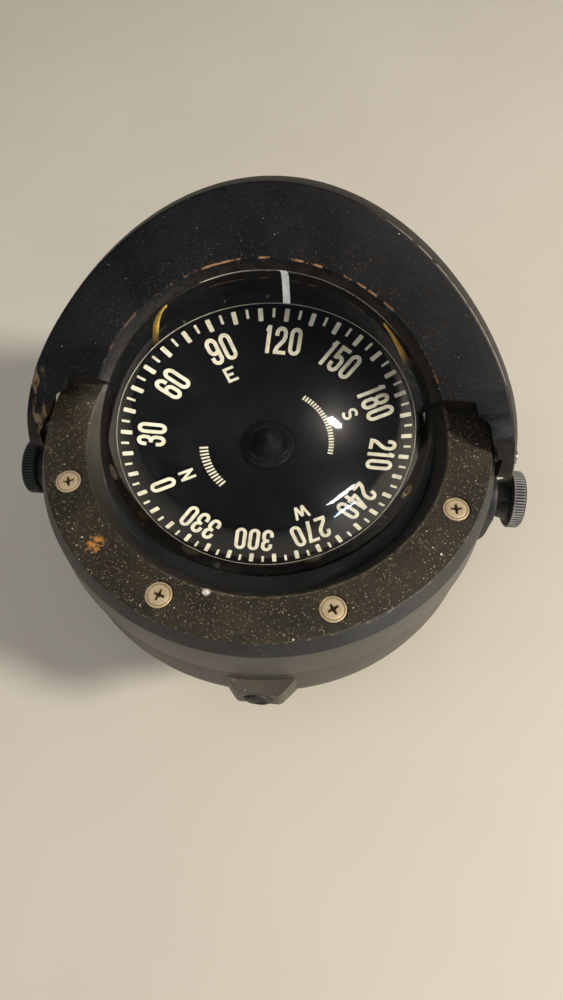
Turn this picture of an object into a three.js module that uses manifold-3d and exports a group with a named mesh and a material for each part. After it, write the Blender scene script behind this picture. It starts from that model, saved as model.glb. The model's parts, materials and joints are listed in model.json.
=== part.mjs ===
// Bracket-mounted marine compass with a clear fluid dome and a swinging sun visor.
// Millimetres, +Z up, +Y forward, +X starboard. z = 0 is the underside of the bracket foot.
//
// The case is modelled in its own frame, whose origin is the centre of the bezel's top face.
// It hangs in the bracket on the two clamp knobs, tipped a little nose-down, so its parts sit in
// a group that turns about the clamp axis. The card assembly floats level in a group of its own.

import * as THREE from 'three';
import { mergeVertices } from 'three/addons/utils/BufferGeometryUtils.js';
import Module from 'manifold-3d';

const wasm = await Module();
wasm.setup();

// ---------------------------------------------------------------- driving dimensions
const GAP = 0.3;                    // air left between pieces that rest on each other
const DEG = Math.PI / 180;

const TILT_AXIS_HEIGHT = 66;        // clamp axis above the foot
const TILT_AXIS_DROP = 34;          // clamp axis below the bezel's top face
const NOSE_DOWN = 4.4 * DEG;        // rest attitude of the case in the bracket

const BEZEL_TOP_RADIUS = 73;
const BEZEL_BAND_RADIUS = 75.4;
const BEZEL_BAND_DROP = 6;
const BEZEL_WALL_RADIUS = 76;
const BEZEL_HEIGHT = 21.3;
const BEZEL_LIP_RADIUS = 58.9;
const BEZEL_CLAMP_DEPTH = 9.3;
const BEZEL_SCREW_CIRCLE = 66;
const BEZEL_SCREW_COUNT = 8;

const SCREW_HEAD_RADIUS = 4.1;
const SCREW_HEAD_DEPTH = 2.4;
const SCREW_SHANK_RADIUS = 2;
const SCREW_LENGTH = 24;

const DOME_RADIUS = 55;
const DOME_WALL = 2.6;
const DOME_CENTRE_DROP = 7.2;
const DOME_FLANGE_RADIUS = 60.6;
const DOME_FLANGE_TOP = -9.6;
const DOME_FLANGE_THICKNESS = 3;

const CARD_RADIUS = 36.3;
const CARD_THICKNESS = 1.0;
const CARD_ABOVE_PIVOT = 3.8;
const PIVOT_DROP = 12.6;
const CARD_HUB_RADIUS = 6.6;
const FLOAT_BOTTOM = -7;
const MAGNET_HEIGHT = 3.8;

const LUBBER_CIRCLE = 38.2;
const LUBBER_RING_INNER = 37.2;
const LUBBER_RING_OUTER = 48.6;
const LUBBER_RADIUS = 0.75;
const LUBBER_FOOT = -15;

const CASE_RADIUS = 74.8;
const CASE_WALL = 2.8;
const CASE_RIM = -23.6;
const CASE_BOTTOM = -71.4;
const SPIGOT_RADIUS = 70.9;
const SPIGOT_TOP = -18.1;
const AFT_CAP_RADIUS = 4.4;
const AFT_CAP_HEIGHT = -38;
const AFT_CAP_OFFSET = 4;
const AFT_BOSS_FACE = 78.9;
const BOWL_RIM = -14.6;
const BOWL_FLOOR = -43;
const FILL_PLUG_FORWARD = 57;
const BOSS_FACE = 75.4;
const BOSS_RADIUS = 10;

const VISOR_PIVOT_DROP = 7;
const VISOR_RAISED = 45 * DEG;
const VISOR_INNER_RADIUS = 57.8;
const VISOR_LIP_RADIUS = 55.1;
const VISOR_LIP_FOOT = -1.4;
const VISOR_ROOF_TOP = 3.9;
const VISOR_ROOF_THICKNESS = 3.2;
const VISOR_ROOF_END = 18.5;
const VISOR_SKIRT_DEPTH = 11;
const VISOR_SKIRT_WALL = 1.4;
const VISOR_SKIRT_DRAFT = 3.4;
const VISOR_EAR_INNER = 76.9;
const VISOR_EAR_OUTER = 82;
const VISOR_EAR_RADIUS = 7;
const PIN_RADIUS = 2.2;

const ARM_INNER = 77.0;
const ARM_THICKNESS = 4.2;
const ARM_HEAD_RADIUS = 9.5;
const FOOT_HALF_LENGTH = 62;
const FOOT_HALF_WIDTH = 26;
const FOOT_THICKNESS = 4.5;
const FOOT_HOLE_X = 38;
const FOOT_HOLE_Y = 16;

const KNOB_HUB_START = ARM_INNER + ARM_THICKNESS + GAP;
const KNOB_HEAD_START = 86;
const KNOB_HEAD_END = 91;
const KNOB_RADIUS = 10.3;
const KNOB_FLUTES = 12;
const STUD_RADIUS = 3;
const STUD_START = 64;
const STUD_END = 88.6;
const INSERT_START = 63.4;
const INSERT_RADIUS = 5;

const COMPENSATOR_RADIUS = 1.6;
const COMPENSATOR_LONG_DROP = 53;
const COMPENSATOR_CROSS_DROP = 60;
const COMPENSATOR_CROSS_FORWARD = 14;

// ---------------------------------------------------------------- materials
function material(name, color, metalness, roughness, extra = {}) {
  return new THREE.MeshStandardMaterial({ name, color, metalness, roughness, ...extra });
}

const MATERIALS = {
  bezelPlastic: material('bezel_plastic', 0x2b2823, 0.0, 0.55),
  casePlastic: material('case_plastic', 0x23221f, 0.0, 0.6),
  visorPlastic: material('visor_plastic', 0x1b1c1f, 0.0, 0.5),
  clearDome: material('clear_dome', 0xe8f0f2, 0.0, 0.05, { transparent: true, opacity: 0.35 }),
  bowlPlastic: material('bowl_plastic', 0x141414, 0.0, 0.5),
  cardPaint: material('card_paint', 0x101010, 0.0, 0.55),
  lubberWhite: material('lubber_white', 0xe7e3d6, 0.0, 0.5),
  lubberYellow: material('lubber_yellow', 0xd9a63a, 0.0, 0.5),
  brass: material('brass', 0xb49a6c, 0.9, 0.35),
  steel: material('steel', 0x9a9ca0, 0.9, 0.3),
  magnet: material('magnet', 0x55565a, 0.8, 0.4),
  rubber: material('rubber', 0x0f0f0f, 0.0, 0.85),
  knobPlastic: material('knob_plastic', 0x3a3c3e, 0.0, 0.55),
  bracketPlastic: material('bracket_plastic', 0x26262a, 0.0, 0.55),
};

// ---------------------------------------------------------------- geometry helpers
function signedArea(profile) {
  let sum = 0;
  for (let i = 0; i < profile.length; i += 1) {
    const [r0, z0] = profile[i];
    const [r1, z1] = profile[(i + 1) % profile.length];
    sum += r0 * z1 - r1 * z0;
  }
  return sum / 2;
}

// Positions only, with shared corners merged, as closed-solid booleans need.
function bare(geometry) {
  const copy = geometry.clone();
  copy.deleteAttribute('normal');
  copy.deleteAttribute('uv');
  return mergeVertices(copy, 1e-4);
}

function toManifold(geometry) {
  const merged = bare(geometry);
  const mesh = new wasm.Mesh({
    numProp: 3,
    vertProperties: new Float32Array(merged.attributes.position.array),
    triVerts: new Uint32Array(withoutSlivers(merged.index.array)),
  });
  return new wasm.Manifold(mesh);
}

// A turned profile that meets the axis leaves triangles with two equal corners there.
function withoutSlivers(index) {
  const kept = [];
  for (let i = 0; i < index.length; i += 3) {
    const [a, b, c] = index.slice(i, i + 3);
    if (a !== b && b !== c && c !== a) {
      kept.push(a, b, c);
    }
  }
  return kept;
}

function toGeometry(manifold) {
  const mesh = manifold.getMesh();
  const geometry = new THREE.BufferGeometry();
  geometry.setAttribute('position', new THREE.BufferAttribute(mesh.vertProperties, 3));
  geometry.setIndex(new THREE.BufferAttribute(mesh.triVerts, 1));
  geometry.computeVertexNormals();
  return geometry;
}

function cut(body, ...tools) {
  return toGeometry(tools.reduce((solid, tool) => solid.subtract(toManifold(tool)), toManifold(body)));
}

function join(body, ...others) {
  return toGeometry(others.reduce((solid, other) => solid.add(toManifold(other)), toManifold(body)));
}

function overlap(a, b) {
  return toGeometry(toManifold(a).intersect(toManifold(b)));
}

function mirrorX(geometry) {
  const copy = bare(geometry);
  copy.scale(-1, 1, 1);
  const index = copy.index.array;
  for (let i = 0; i < index.length; i += 3) {
    [index[i + 1], index[i + 2]] = [index[i + 2], index[i + 1]];
  }
  copy.computeVertexNormals();
  return copy;
}

function bothSides(geometry) {
  return [geometry, mirrorX(geometry)];
}

// Closed [radius, height] profile spun about Z.
function turned(profile, segments) {
  const ordered = signedArea(profile) > 0 ? profile : [...profile].reverse();
  const points = ordered.map(([r, z]) => new THREE.Vector2(r, z));
  points.push(points[0].clone());
  return new THREE.LatheGeometry(points, segments).rotateX(Math.PI / 2);
}

// The same profile, with its heights measured along +X or along -Y.
function turnedAboutX(profile, segments) {
  return turned(profile, segments).rotateY(Math.PI / 2);
}

function turnedAft(profile, segments) {
  return turned(profile, segments).rotateX(Math.PI / 2);
}

function cylinderProfile(radius, start, end) {
  return [[0, start], [radius, start], [radius, end], [0, end]];
}

function pillar(radius, bottom, top, segments) {
  return turned(cylinderProfile(radius, bottom, top), segments);
}

function rodX(radius, start, end, segments) {
  return turnedAboutX(cylinderProfile(radius, start, end), segments);
}

function rodAft(radius, start, end, segments) {
  return turnedAft(cylinderProfile(radius, start, end), segments);
}

function block(x0, x1, y0, y1, z0, z1) {
  const box = new THREE.BoxGeometry(x1 - x0, y1 - y0, z1 - z0);
  return box.translate((x0 + x1) / 2, (y0 + y1) / 2, (z0 + z1) / 2);
}

// Outline drawn in the plan (x, y), extruded from bottom to top.
function slab(outline, bottom, top) {
  const shape = new THREE.Shape(outline.map(([x, y]) => new THREE.Vector2(x, y)));
  const geometry = new THREE.ExtrudeGeometry(shape, { depth: top - bottom, bevelEnabled: false });
  return geometry.translate(0, 0, bottom);
}

// Outline drawn in the side view (y, z), extruded along X.
function sidePlate(outline, start, end) {
  return slab(outline, 0, end - start).rotateX(Math.PI / 2).rotateZ(Math.PI / 2).translate(start, 0, 0);
}

// Outline drawn in the front view (x, z), extruded along Y.
function frontPlate(outline, start, end) {
  return slab(outline, -end, -start).rotateX(Math.PI / 2);
}

function arcPoints(cx, cy, radius, from, to, steps) {
  const points = [];
  for (let i = 0; i <= steps; i += 1) {
    const angle = from + ((to - from) * i) / steps;
    points.push([cx + radius * Math.cos(angle), cy + radius * Math.sin(angle)]);
  }
  return points;
}

// ---------------------------------------------------------------- groups
const compass = new THREE.Group();

// Turns about the clamp axis; its children are placed from the bezel's top face.
const tiltGroup = new THREE.Group();
tiltGroup.position.z = TILT_AXIS_HEIGHT;
tiltGroup.rotation.x = -NOSE_DOWN;
const caseGroup = new THREE.Group();
caseGroup.position.z = TILT_AXIS_DROP;
tiltGroup.add(caseGroup);
compass.add(tiltGroup);

// Level, and centred on the card; it balances on the tip of the pivot post.
const cardGroup = new THREE.Group();
const pivotAboveTilt = TILT_AXIS_DROP - PIVOT_DROP;
cardGroup.position.set(
  0,
  pivotAboveTilt * Math.sin(NOSE_DOWN),
  TILT_AXIS_HEIGHT + pivotAboveTilt * Math.cos(NOSE_DOWN) + CARD_ABOVE_PIVOT,
);
compass.add(cardGroup);

// Turns about the visor's pivot pins.
const visorGroup = new THREE.Group();
visorGroup.position.z = -VISOR_PIVOT_DROP;
visorGroup.rotation.x = VISOR_RAISED;
caseGroup.add(visorGroup);

// Centred on the clamp axis, and level with the bracket.
const clampGroup = new THREE.Group();
clampGroup.position.z = TILT_AXIS_HEIGHT;
compass.add(clampGroup);

function addPart(parent, name, geometry, finish) {
  const mesh = new THREE.Mesh(geometry, finish.clone());
  mesh.name = name;
  parent.add(mesh);
}

// ---------------------------------------------------------------- bezel and its screws
function toScrewPlace(geometry, index) {
  const angle = (22.5 + (index * 360) / BEZEL_SCREW_COUNT) * DEG;
  const x = BEZEL_SCREW_CIRCLE * Math.cos(angle);
  const y = BEZEL_SCREW_CIRCLE * Math.sin(angle);
  return geometry.clone().translate(x, y, 0);
}

function onScrewCircle(geometry) {
  return Array.from({ length: BEZEL_SCREW_COUNT }, (_, index) => toScrewPlace(geometry, index));
}

function countersink() {
  const head = SCREW_HEAD_RADIUS + GAP;
  const shank = SCREW_SHANK_RADIUS + GAP;
  return turned([
    [0, 1],
    [head, 1],
    [head, -0.2],
    [shank, -SCREW_HEAD_DEPTH - 0.2],
    [shank, -SCREW_LENGTH],
    [0, -SCREW_LENGTH],
  ], 12);
}

function shankHole() {
  return pillar(SCREW_SHANK_RADIUS + GAP, -SCREW_LENGTH - 1, -10, 12);
}

function buildScrew(turn) {
  const body = turned([
    [0, 0.15],
    [SCREW_HEAD_RADIUS - 0.5, 0.1],
    [SCREW_HEAD_RADIUS, -0.15],
    [SCREW_SHANK_RADIUS, -SCREW_HEAD_DEPTH],
    [SCREW_SHANK_RADIUS, -SCREW_LENGTH + 1],
    [SCREW_SHANK_RADIUS - 0.8, -SCREW_LENGTH],
    [0, -SCREW_LENGTH],
  ], 12);
  const slot = block(-2.2, 2.2, -0.5, 0.5, -1.6, 1);
  return cut(body, slot, slot.clone().rotateZ(Math.PI / 2)).rotateZ(turn);
}

function buildBezel() {
  const ring = turned([
    [DOME_RADIUS + 0.6, -BEZEL_CLAMP_DEPTH],
    [DOME_RADIUS + 0.6, -5.2],
    [BEZEL_LIP_RADIUS, -0.5],
    [BEZEL_LIP_RADIUS + 0.6, 0],
    [BEZEL_TOP_RADIUS - 0.7, 0],
    [BEZEL_TOP_RADIUS, -0.5],
    [BEZEL_BAND_RADIUS, -BEZEL_BAND_DROP],
    [BEZEL_WALL_RADIUS, -BEZEL_HEIGHT + 0.6],
    [BEZEL_WALL_RADIUS - 0.6, -BEZEL_HEIGHT],
    [SPIGOT_RADIUS + GAP, -BEZEL_HEIGHT],
    [SPIGOT_RADIUS + GAP, -BEZEL_CLAMP_DEPTH],
  ], 56);
  const pinBore = rodX(PIN_RADIUS + GAP, 68, 80, 16).translate(0, 0, -VISOR_PIVOT_DROP);
  return cut(ring, ...onScrewCircle(countersink()), ...bothSides(pinBore));
}

addPart(caseGroup, 'bezel_ring', buildBezel(), MATERIALS.bezelPlastic);
for (let i = 0; i < BEZEL_SCREW_COUNT; i += 1) {
  const screw = toScrewPlace(buildScrew((17 + 31 * i) * DEG), i);
  addPart(caseGroup, `bezel_screw_${i + 1}`, screw, MATERIALS.brass);
}

// ---------------------------------------------------------------- dome, gasket, bowl
function domeArc(radius, lowest) {
  const from = Math.asin((lowest + DOME_CENTRE_DROP) / radius);
  const arc = arcPoints(0, -DOME_CENTRE_DROP, radius, from, Math.PI / 2, 9);
  arc[arc.length - 1][0] = 0;
  return arc;
}

function buildDome() {
  const flangeBottom = DOME_FLANGE_TOP - DOME_FLANGE_THICKNESS;
  return turned([
    [DOME_FLANGE_RADIUS, flangeBottom],
    [DOME_FLANGE_RADIUS, DOME_FLANGE_TOP],
    ...domeArc(DOME_RADIUS, DOME_FLANGE_TOP),
    ...domeArc(DOME_RADIUS - DOME_WALL, flangeBottom).reverse(),
  ], 36);
}

function buildBowl() {
  const wall = turned([
    [SPIGOT_RADIUS - GAP, BOWL_RIM - 3.2],
    [SPIGOT_RADIUS - GAP, BOWL_RIM],
    [49.6, BOWL_RIM],
    [48, -24],
    [43.5, -34],
    [36, -41],
    [30, BOWL_FLOOR],
    [21, BOWL_FLOOR],
    [21, BOWL_FLOOR - 2.4],
    [31, BOWL_FLOOR - 2.4],
    [37.5, -43.2],
    [45.6, -35.8],
    [50.6, -25],
    [52, BOWL_RIM - 3.2],
  ], 36);
  const postBridge = block(-25, 25, -3.2, 3.2, BOWL_FLOOR - 2.4, BOWL_FLOOR);
  const fillHole = pillar(PIN_RADIUS + GAP, -20, -10, 12).translate(0, FILL_PLUG_FORWARD, 0);
  return cut(join(wall, postBridge), fillHole, ...onScrewCircle(shankHole()));
}

function buildFillPlug() {
  const plug = turned([
    [0, -21],
    [3.4, -21],
    [3.4, BOWL_RIM - 3.5],
    [PIN_RADIUS, BOWL_RIM - 3.5],
    [PIN_RADIUS, BOWL_RIM - 0.6],
    [0, BOWL_RIM - 0.6],
  ], 16);
  return plug.translate(0, FILL_PLUG_FORWARD, 0);
}

addPart(caseGroup, 'dome', buildDome(), MATERIALS.clearDome);
addPart(caseGroup, 'dome_gasket', turned([
  [54.2, BOWL_RIM + GAP],
  [60.4, BOWL_RIM + GAP],
  [60.4, -12.9],
  [54.2, -12.9],
], 36), MATERIALS.rubber);
addPart(caseGroup, 'bowl', buildBowl(), MATERIALS.bowlPlastic);
addPart(caseGroup, 'fill_plug', buildFillPlug(), MATERIALS.brass);
addPart(caseGroup, 'pivot_post', turned([
  [0, BOWL_FLOOR + GAP],
  [3, BOWL_FLOOR + GAP],
  [3, BOWL_FLOOR + 1.8],
  [1.2, BOWL_FLOOR + 4],
  [1.2, -17],
  [0.3, -PIVOT_DROP - GAP],
  [0, -PIVOT_DROP - GAP],
], 16), MATERIALS.steel);

// ---------------------------------------------------------------- pressure diaphragm
addPart(caseGroup, 'diaphragm', turned([
  [0, -46.7],
  [9, -46.7],
  [11, -47.8],
  [13, -46.7],
  [29, -46.7],
  [29, -45.7],
  [13, -45.7],
  [11, -46.8],
  [9, -45.7],
  [0, -45.7],
], 28), MATERIALS.rubber);
addPart(caseGroup, 'diaphragm_ring', turned([
  [21.5, -48.4],
  [29, -48.4],
  [29, -47],
  [21.5, -47],
], 28), MATERIALS.brass);

// ---------------------------------------------------------------- lubber ring and posts
addPart(caseGroup, 'lubber_ring', turned([
  [LUBBER_RING_INNER, LUBBER_FOOT - 2.2],
  [LUBBER_RING_OUTER, LUBBER_FOOT - 2.2],
  [LUBBER_RING_OUTER, LUBBER_FOOT],
  [LUBBER_RING_INNER, LUBBER_FOOT],
], 36), MATERIALS.bowlPlastic);

function lubberPost(bearing, top) {
  const foot = LUBBER_FOOT + GAP;
  const post = turned([
    [0, foot],
    [LUBBER_RADIUS, foot],
    [LUBBER_RADIUS, top - 0.6],
    [0.4, top],
    [0, top],
  ], 12);
  return post.translate(LUBBER_CIRCLE * Math.sin(bearing), LUBBER_CIRCLE * Math.cos(bearing), 0);
}

addPart(caseGroup, 'lubber_post_centre', lubberPost(0, 14), MATERIALS.lubberWhite);
addPart(caseGroup, 'lubber_post_port', lubberPost(-45 * DEG, 8), MATERIALS.lubberYellow);
addPart(caseGroup, 'lubber_post_starboard', lubberPost(45 * DEG, 8), MATERIALS.lubberYellow);

// ---------------------------------------------------------------- card assembly
const cardUnderside = -CARD_THICKNESS / 2;

addPart(cardGroup, 'card', turned([
  [CARD_HUB_RADIUS + GAP, cardUnderside],
  [CARD_RADIUS, cardUnderside],
  [CARD_RADIUS, CARD_THICKNESS / 2],
  [CARD_HUB_RADIUS + GAP, CARD_THICKNESS / 2],
], 48), MATERIALS.cardPaint);
addPart(cardGroup, 'card_hub', turned([
  [4.6, -3.4],
  [CARD_HUB_RADIUS, -3.4],
  [CARD_HUB_RADIUS, 0.7],
  [5.6, 1.5],
  [4.2, 2.1],
  [2.2, 4.6],
  [0.9, 5.6],
  [0, 5.8],
  [0, 1.2],
  [4.6, 1.2],
], 20), MATERIALS.cardPaint);
addPart(cardGroup, 'jewel_cup', turned([
  [0.9, -4.4],
  [2.2, -4.4],
  [2.2, -0.3],
  [0, -0.3],
  [0, -3.2],
], 16), MATERIALS.brass);
addPart(cardGroup, 'card_float', turned([
  [8.5, FLOAT_BOTTOM],
  [15, FLOAT_BOTTOM],
  [16.5, cardUnderside - GAP],
  [8.5, cardUnderside - GAP],
], 28), MATERIALS.bowlPlastic);

const magnetTop = FLOAT_BOTTOM - GAP;
const cardMagnets = bothSides(block(9, 13, -15, 15, magnetTop - MAGNET_HEIGHT, magnetTop));
addPart(cardGroup, 'card_magnet_1', cardMagnets[0], MATERIALS.magnet);
addPart(cardGroup, 'card_magnet_2', cardMagnets[1], MATERIALS.magnet);

// ---------------------------------------------------------------- lower case
function buildLowerCase() {
  const shell = turned([
    [CASE_RADIUS, CASE_RIM],
    [CASE_RADIUS, -42],
    [74, -47],
    [70.5, -54.5],
    [64, -61],
    [55, -66.2],
    [44, -69.8],
    [33, CASE_BOTTOM],
    [0, CASE_BOTTOM],
    [0, CASE_BOTTOM + CASE_WALL],
    [33, CASE_BOTTOM + CASE_WALL],
    [43, -67],
    [53.3, -63.6],
    [61.9, -58.6],
    [67.9, -52.6],
    [71.2, -46],
    [SPIGOT_RADIUS - 7.7, -35],
    [SPIGOT_RADIUS - 7.7, SPIGOT_TOP],
    [SPIGOT_RADIUS, SPIGOT_TOP],
    [SPIGOT_RADIUS, CASE_RIM],
  ], 40);
  const boss = rodX(BOSS_RADIUS, 62.5, BOSS_FACE, 24).translate(0, 0, -TILT_AXIS_DROP);
  const insertBore = rodX(INSERT_RADIUS + GAP, INSERT_START - GAP, 80, 16);
  const studRoom = rodX(STUD_RADIUS + GAP, 60, 80, 16);
  const aftBoss = slab([
    [-12.5, -71],
    [-8, -77.9],
    [-6.6, -AFT_BOSS_FACE],
    [6.6, -AFT_BOSS_FACE],
    [8, -77.9],
    [12.5, -71],
  ], AFT_CAP_HEIGHT - 7, AFT_CAP_HEIGHT + 7).translate(AFT_CAP_OFFSET, 0, 0);
  const capSeat = rodAft(AFT_CAP_RADIUS + GAP, AFT_BOSS_FACE - 3, 90, 24)
    .translate(AFT_CAP_OFFSET, 0, AFT_CAP_HEIGHT);
  const rodBore = COMPENSATOR_RADIUS + 0.6 + GAP;
  const longBore = rodAft(rodBore, 0, 90, 16).translate(0, 0, -COMPENSATOR_LONG_DROP);
  const crossBore = rodX(rodBore, 0, 90, 16)
    .translate(0, COMPENSATOR_CROSS_FORWARD, -COMPENSATOR_CROSS_DROP);
  return cut(
    join(shell, aftBoss, ...bothSides(boss)),
    ...bothSides(insertBore.translate(0, 0, -TILT_AXIS_DROP)),
    ...bothSides(studRoom.translate(0, 0, -TILT_AXIS_DROP)),
    ...onScrewCircle(shankHole()),
    capSeat,
    longBore,
    crossBore,
  );
}

const aftCap = rodAft(AFT_CAP_RADIUS, AFT_BOSS_FACE - 2.7, AFT_BOSS_FACE + 1, 24)
  .translate(AFT_CAP_OFFSET, 0, AFT_CAP_HEIGHT);

addPart(caseGroup, 'case_gasket', turned([
  [SPIGOT_RADIUS + GAP, CASE_RIM + GAP],
  [CASE_RADIUS - 0.2, CASE_RIM + GAP],
  [CASE_RADIUS - 0.2, -BEZEL_HEIGHT - GAP],
  [SPIGOT_RADIUS + GAP, -BEZEL_HEIGHT - GAP],
], 40), MATERIALS.rubber);
addPart(caseGroup, 'lower_case', buildLowerCase(), MATERIALS.casePlastic);
addPart(caseGroup, 'aft_cap', aftCap, MATERIALS.knobPlastic);

// ---------------------------------------------------------------- compensators
function slottedRod(start, end) {
  const shaft = turned([
    [0, start],
    [COMPENSATOR_RADIUS, start],
    [COMPENSATOR_RADIUS, end - 3],
    [COMPENSATOR_RADIUS + 0.6, end - 3],
    [COMPENSATOR_RADIUS + 0.6, end],
    [0, end],
  ], 16);
  return cut(shaft, block(-3, 3, -0.35, 0.35, end - 1, end + 1));
}

function rodMagnet(centre) {
  return turned([
    [COMPENSATOR_RADIUS + GAP, centre - 9],
    [3.2, centre - 9],
    [3.2, centre + 9],
    [COMPENSATOR_RADIUS + GAP, centre + 9],
  ], 16);
}

function alongLength(geometry) {
  return geometry.rotateX(Math.PI / 2).translate(0, 0, -COMPENSATOR_LONG_DROP);
}

function across(geometry) {
  return geometry
    .rotateY(Math.PI / 2)
    .translate(0, COMPENSATOR_CROSS_FORWARD, -COMPENSATOR_CROSS_DROP);
}

addPart(caseGroup, 'compensator_rod_long', alongLength(slottedRod(-61, 66)), MATERIALS.brass);
addPart(caseGroup, 'compensator_magnet_long', alongLength(rodMagnet(-34)), MATERIALS.magnet);
addPart(caseGroup, 'compensator_rod_cross', across(slottedRod(-51, 59)), MATERIALS.brass);
addPart(caseGroup, 'compensator_magnet_cross', across(rodMagnet(28)), MATERIALS.magnet);

// ---------------------------------------------------------------- sun visor, folded flat
// Plan outline of the visor's outer edge: nearly round, fuller ahead and at the two ears.
function visorEdge(inset, steps) {
  const points = [];
  for (let i = 0; i <= steps; i += 1) {
    const angle = (Math.PI * i) / steps;
    const radius = 78.8 + 3.9 * Math.sin(angle) ** 6 + 2.6 * Math.cos(angle) ** 10 - inset;
    points.push([radius * Math.cos(angle), radius * Math.sin(angle)]);
  }
  return points;
}

// Half-round hood whose edge leans outward from its top inset to its bottom inset.
function draftedHood(topInset, bottomInset, top, bottom) {
  const steps = 28;
  const rows = [...visorEdge(bottomInset, steps), ...visorEdge(topInset, steps)];
  const position = rows.flatMap(([x, y], i) => [x, y, i <= steps ? bottom : top]);
  const n = steps + 1;
  const index = [];
  for (let i = 0; i < n; i += 1) {
    const j = (i + 1) % n;
    index.push(i, j, n + j, i, n + j, n + i);
  }
  for (let i = 1; i < n - 1; i += 1) {
    index.push(0, i + 1, i, n, n + i, n + i + 1);
  }
  const geometry = new THREE.BufferGeometry();
  geometry.setAttribute('position', new THREE.Float32BufferAttribute(position, 3));
  geometry.setIndex(index);
  return geometry;
}

function visorOpening() {
  return turned([
    [0, -30],
    [VISOR_LIP_RADIUS, -30],
    [VISOR_LIP_RADIUS, VISOR_LIP_FOOT],
    [VISOR_INNER_RADIUS, VISOR_ROOF_TOP],
    [VISOR_INNER_RADIUS, 30],
    [0, 30],
  ], 64);
}

// Half-ring that carries the roof's inner edge down beside the dome.
function visorLip() {
  const ring = turned([
    [VISOR_LIP_RADIUS, VISOR_LIP_FOOT],
    [VISOR_LIP_RADIUS + 2.4, VISOR_LIP_FOOT],
    [VISOR_INNER_RADIUS + 1.8, 0.9],
    [VISOR_INNER_RADIUS + 1.8, 2.5],
    [VISOR_INNER_RADIUS - 0.6, 2.5],
  ], 64);
  return cut(ring, block(-70, 70, -70, VISOR_ROOF_END, -30, 30));
}

function buildVisor() {
  const roofUnder = VISOR_ROOF_TOP - VISOR_ROOF_THICKNESS;
  const foot = VISOR_ROOF_TOP - VISOR_SKIRT_DEPTH;
  const hood = cut(
    draftedHood(VISOR_SKIRT_DRAFT, 0, VISOR_ROOF_TOP, foot),
    draftedHood(
      VISOR_SKIRT_DRAFT + VISOR_SKIRT_WALL,
      VISOR_SKIRT_WALL,
      roofUnder,
      foot - VISOR_ROOF_THICKNESS,
    ),
    visorOpening(),
    block(-VISOR_EAR_INNER, VISOR_EAR_INNER, -5, VISOR_ROOF_END, -30, 30),
    block(-90, 90, -5, 5, -30, 30),
  );
  const earSide = sidePlate([
    ...arcPoints(0, -VISOR_PIVOT_DROP, VISOR_EAR_RADIUS, 1.5 * Math.PI, 0.62 * Math.PI, 14),
    [6, VISOR_ROOF_TOP - 0.6],
    [20, VISOR_ROOF_TOP],
    [20, foot - 4],
    [14, foot - 6.9],
  ], VISOR_EAR_INNER - 5, VISOR_EAR_OUTER + 1);
  const earPlan = slab([
    [VISOR_EAR_INNER, -8],
    [VISOR_EAR_OUTER, -8],
    [VISOR_EAR_OUTER, 0],
    [81.5, 8],
    [80, 15],
    [78.6, 20],
    [74.1, 20],
    [75.8, 12],
    [VISOR_EAR_INNER, 3],
  ], -30, 30);
  const ledge = slab([
    [72.4, 20],
    [72.6, 5.5],
    [75.7, 2],
    [79, 2],
    [77.2, 20],
  ], roofUnder, VISOR_ROOF_TOP);
  const ear = join(overlap(earSide, earPlan), ledge);
  const eye = rodX(PIN_RADIUS + GAP, 60, 90, 20).translate(0, 0, -VISOR_PIVOT_DROP);
  const whole = cut(join(hood, visorLip(), ...bothSides(ear)), ...bothSides(eye));
  return whole.translate(0, 0, VISOR_PIVOT_DROP);
}

addPart(visorGroup, 'sun_visor', buildVisor(), MATERIALS.visorPlastic);

const visorPins = bothSides(turnedAboutX([
  [0, 69.5],
  [PIN_RADIUS, 69.5],
  [PIN_RADIUS, VISOR_EAR_OUTER + GAP],
  [3.6, VISOR_EAR_OUTER + GAP],
  [3.2, VISOR_EAR_OUTER + 1.2],
  [0, VISOR_EAR_OUTER + 1.6],
], 20).translate(0, 0, -VISOR_PIVOT_DROP));
addPart(caseGroup, 'visor_pin_starboard', visorPins[0], MATERIALS.steel);
addPart(caseGroup, 'visor_pin_port', visorPins[1], MATERIALS.steel);

// ---------------------------------------------------------------- bracket
function footPlate() {
  const corner = 6;
  const x = FOOT_HALF_LENGTH - 3 - corner;
  const y = FOOT_HALF_WIDTH - corner;
  const plate = slab([
    ...arcPoints(x, y, corner, 0, 0.5 * Math.PI, 4),
    ...arcPoints(-x, y, corner, 0.5 * Math.PI, Math.PI, 4),
    ...arcPoints(-x, -y, corner, Math.PI, 1.5 * Math.PI, 4),
    ...arcPoints(x, -y, corner, 1.5 * Math.PI, 2 * Math.PI, 4),
  ], 0, FOOT_THICKNESS);
  const hole = pillar(2.4, -1, 10, 16);
  const aft = hole.clone().translate(FOOT_HOLE_X, -FOOT_HOLE_Y, 0);
  const forward = hole.clone().translate(FOOT_HOLE_X, FOOT_HOLE_Y, 0);
  return cut(plate, ...bothSides(aft), ...bothSides(forward));
}

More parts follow.
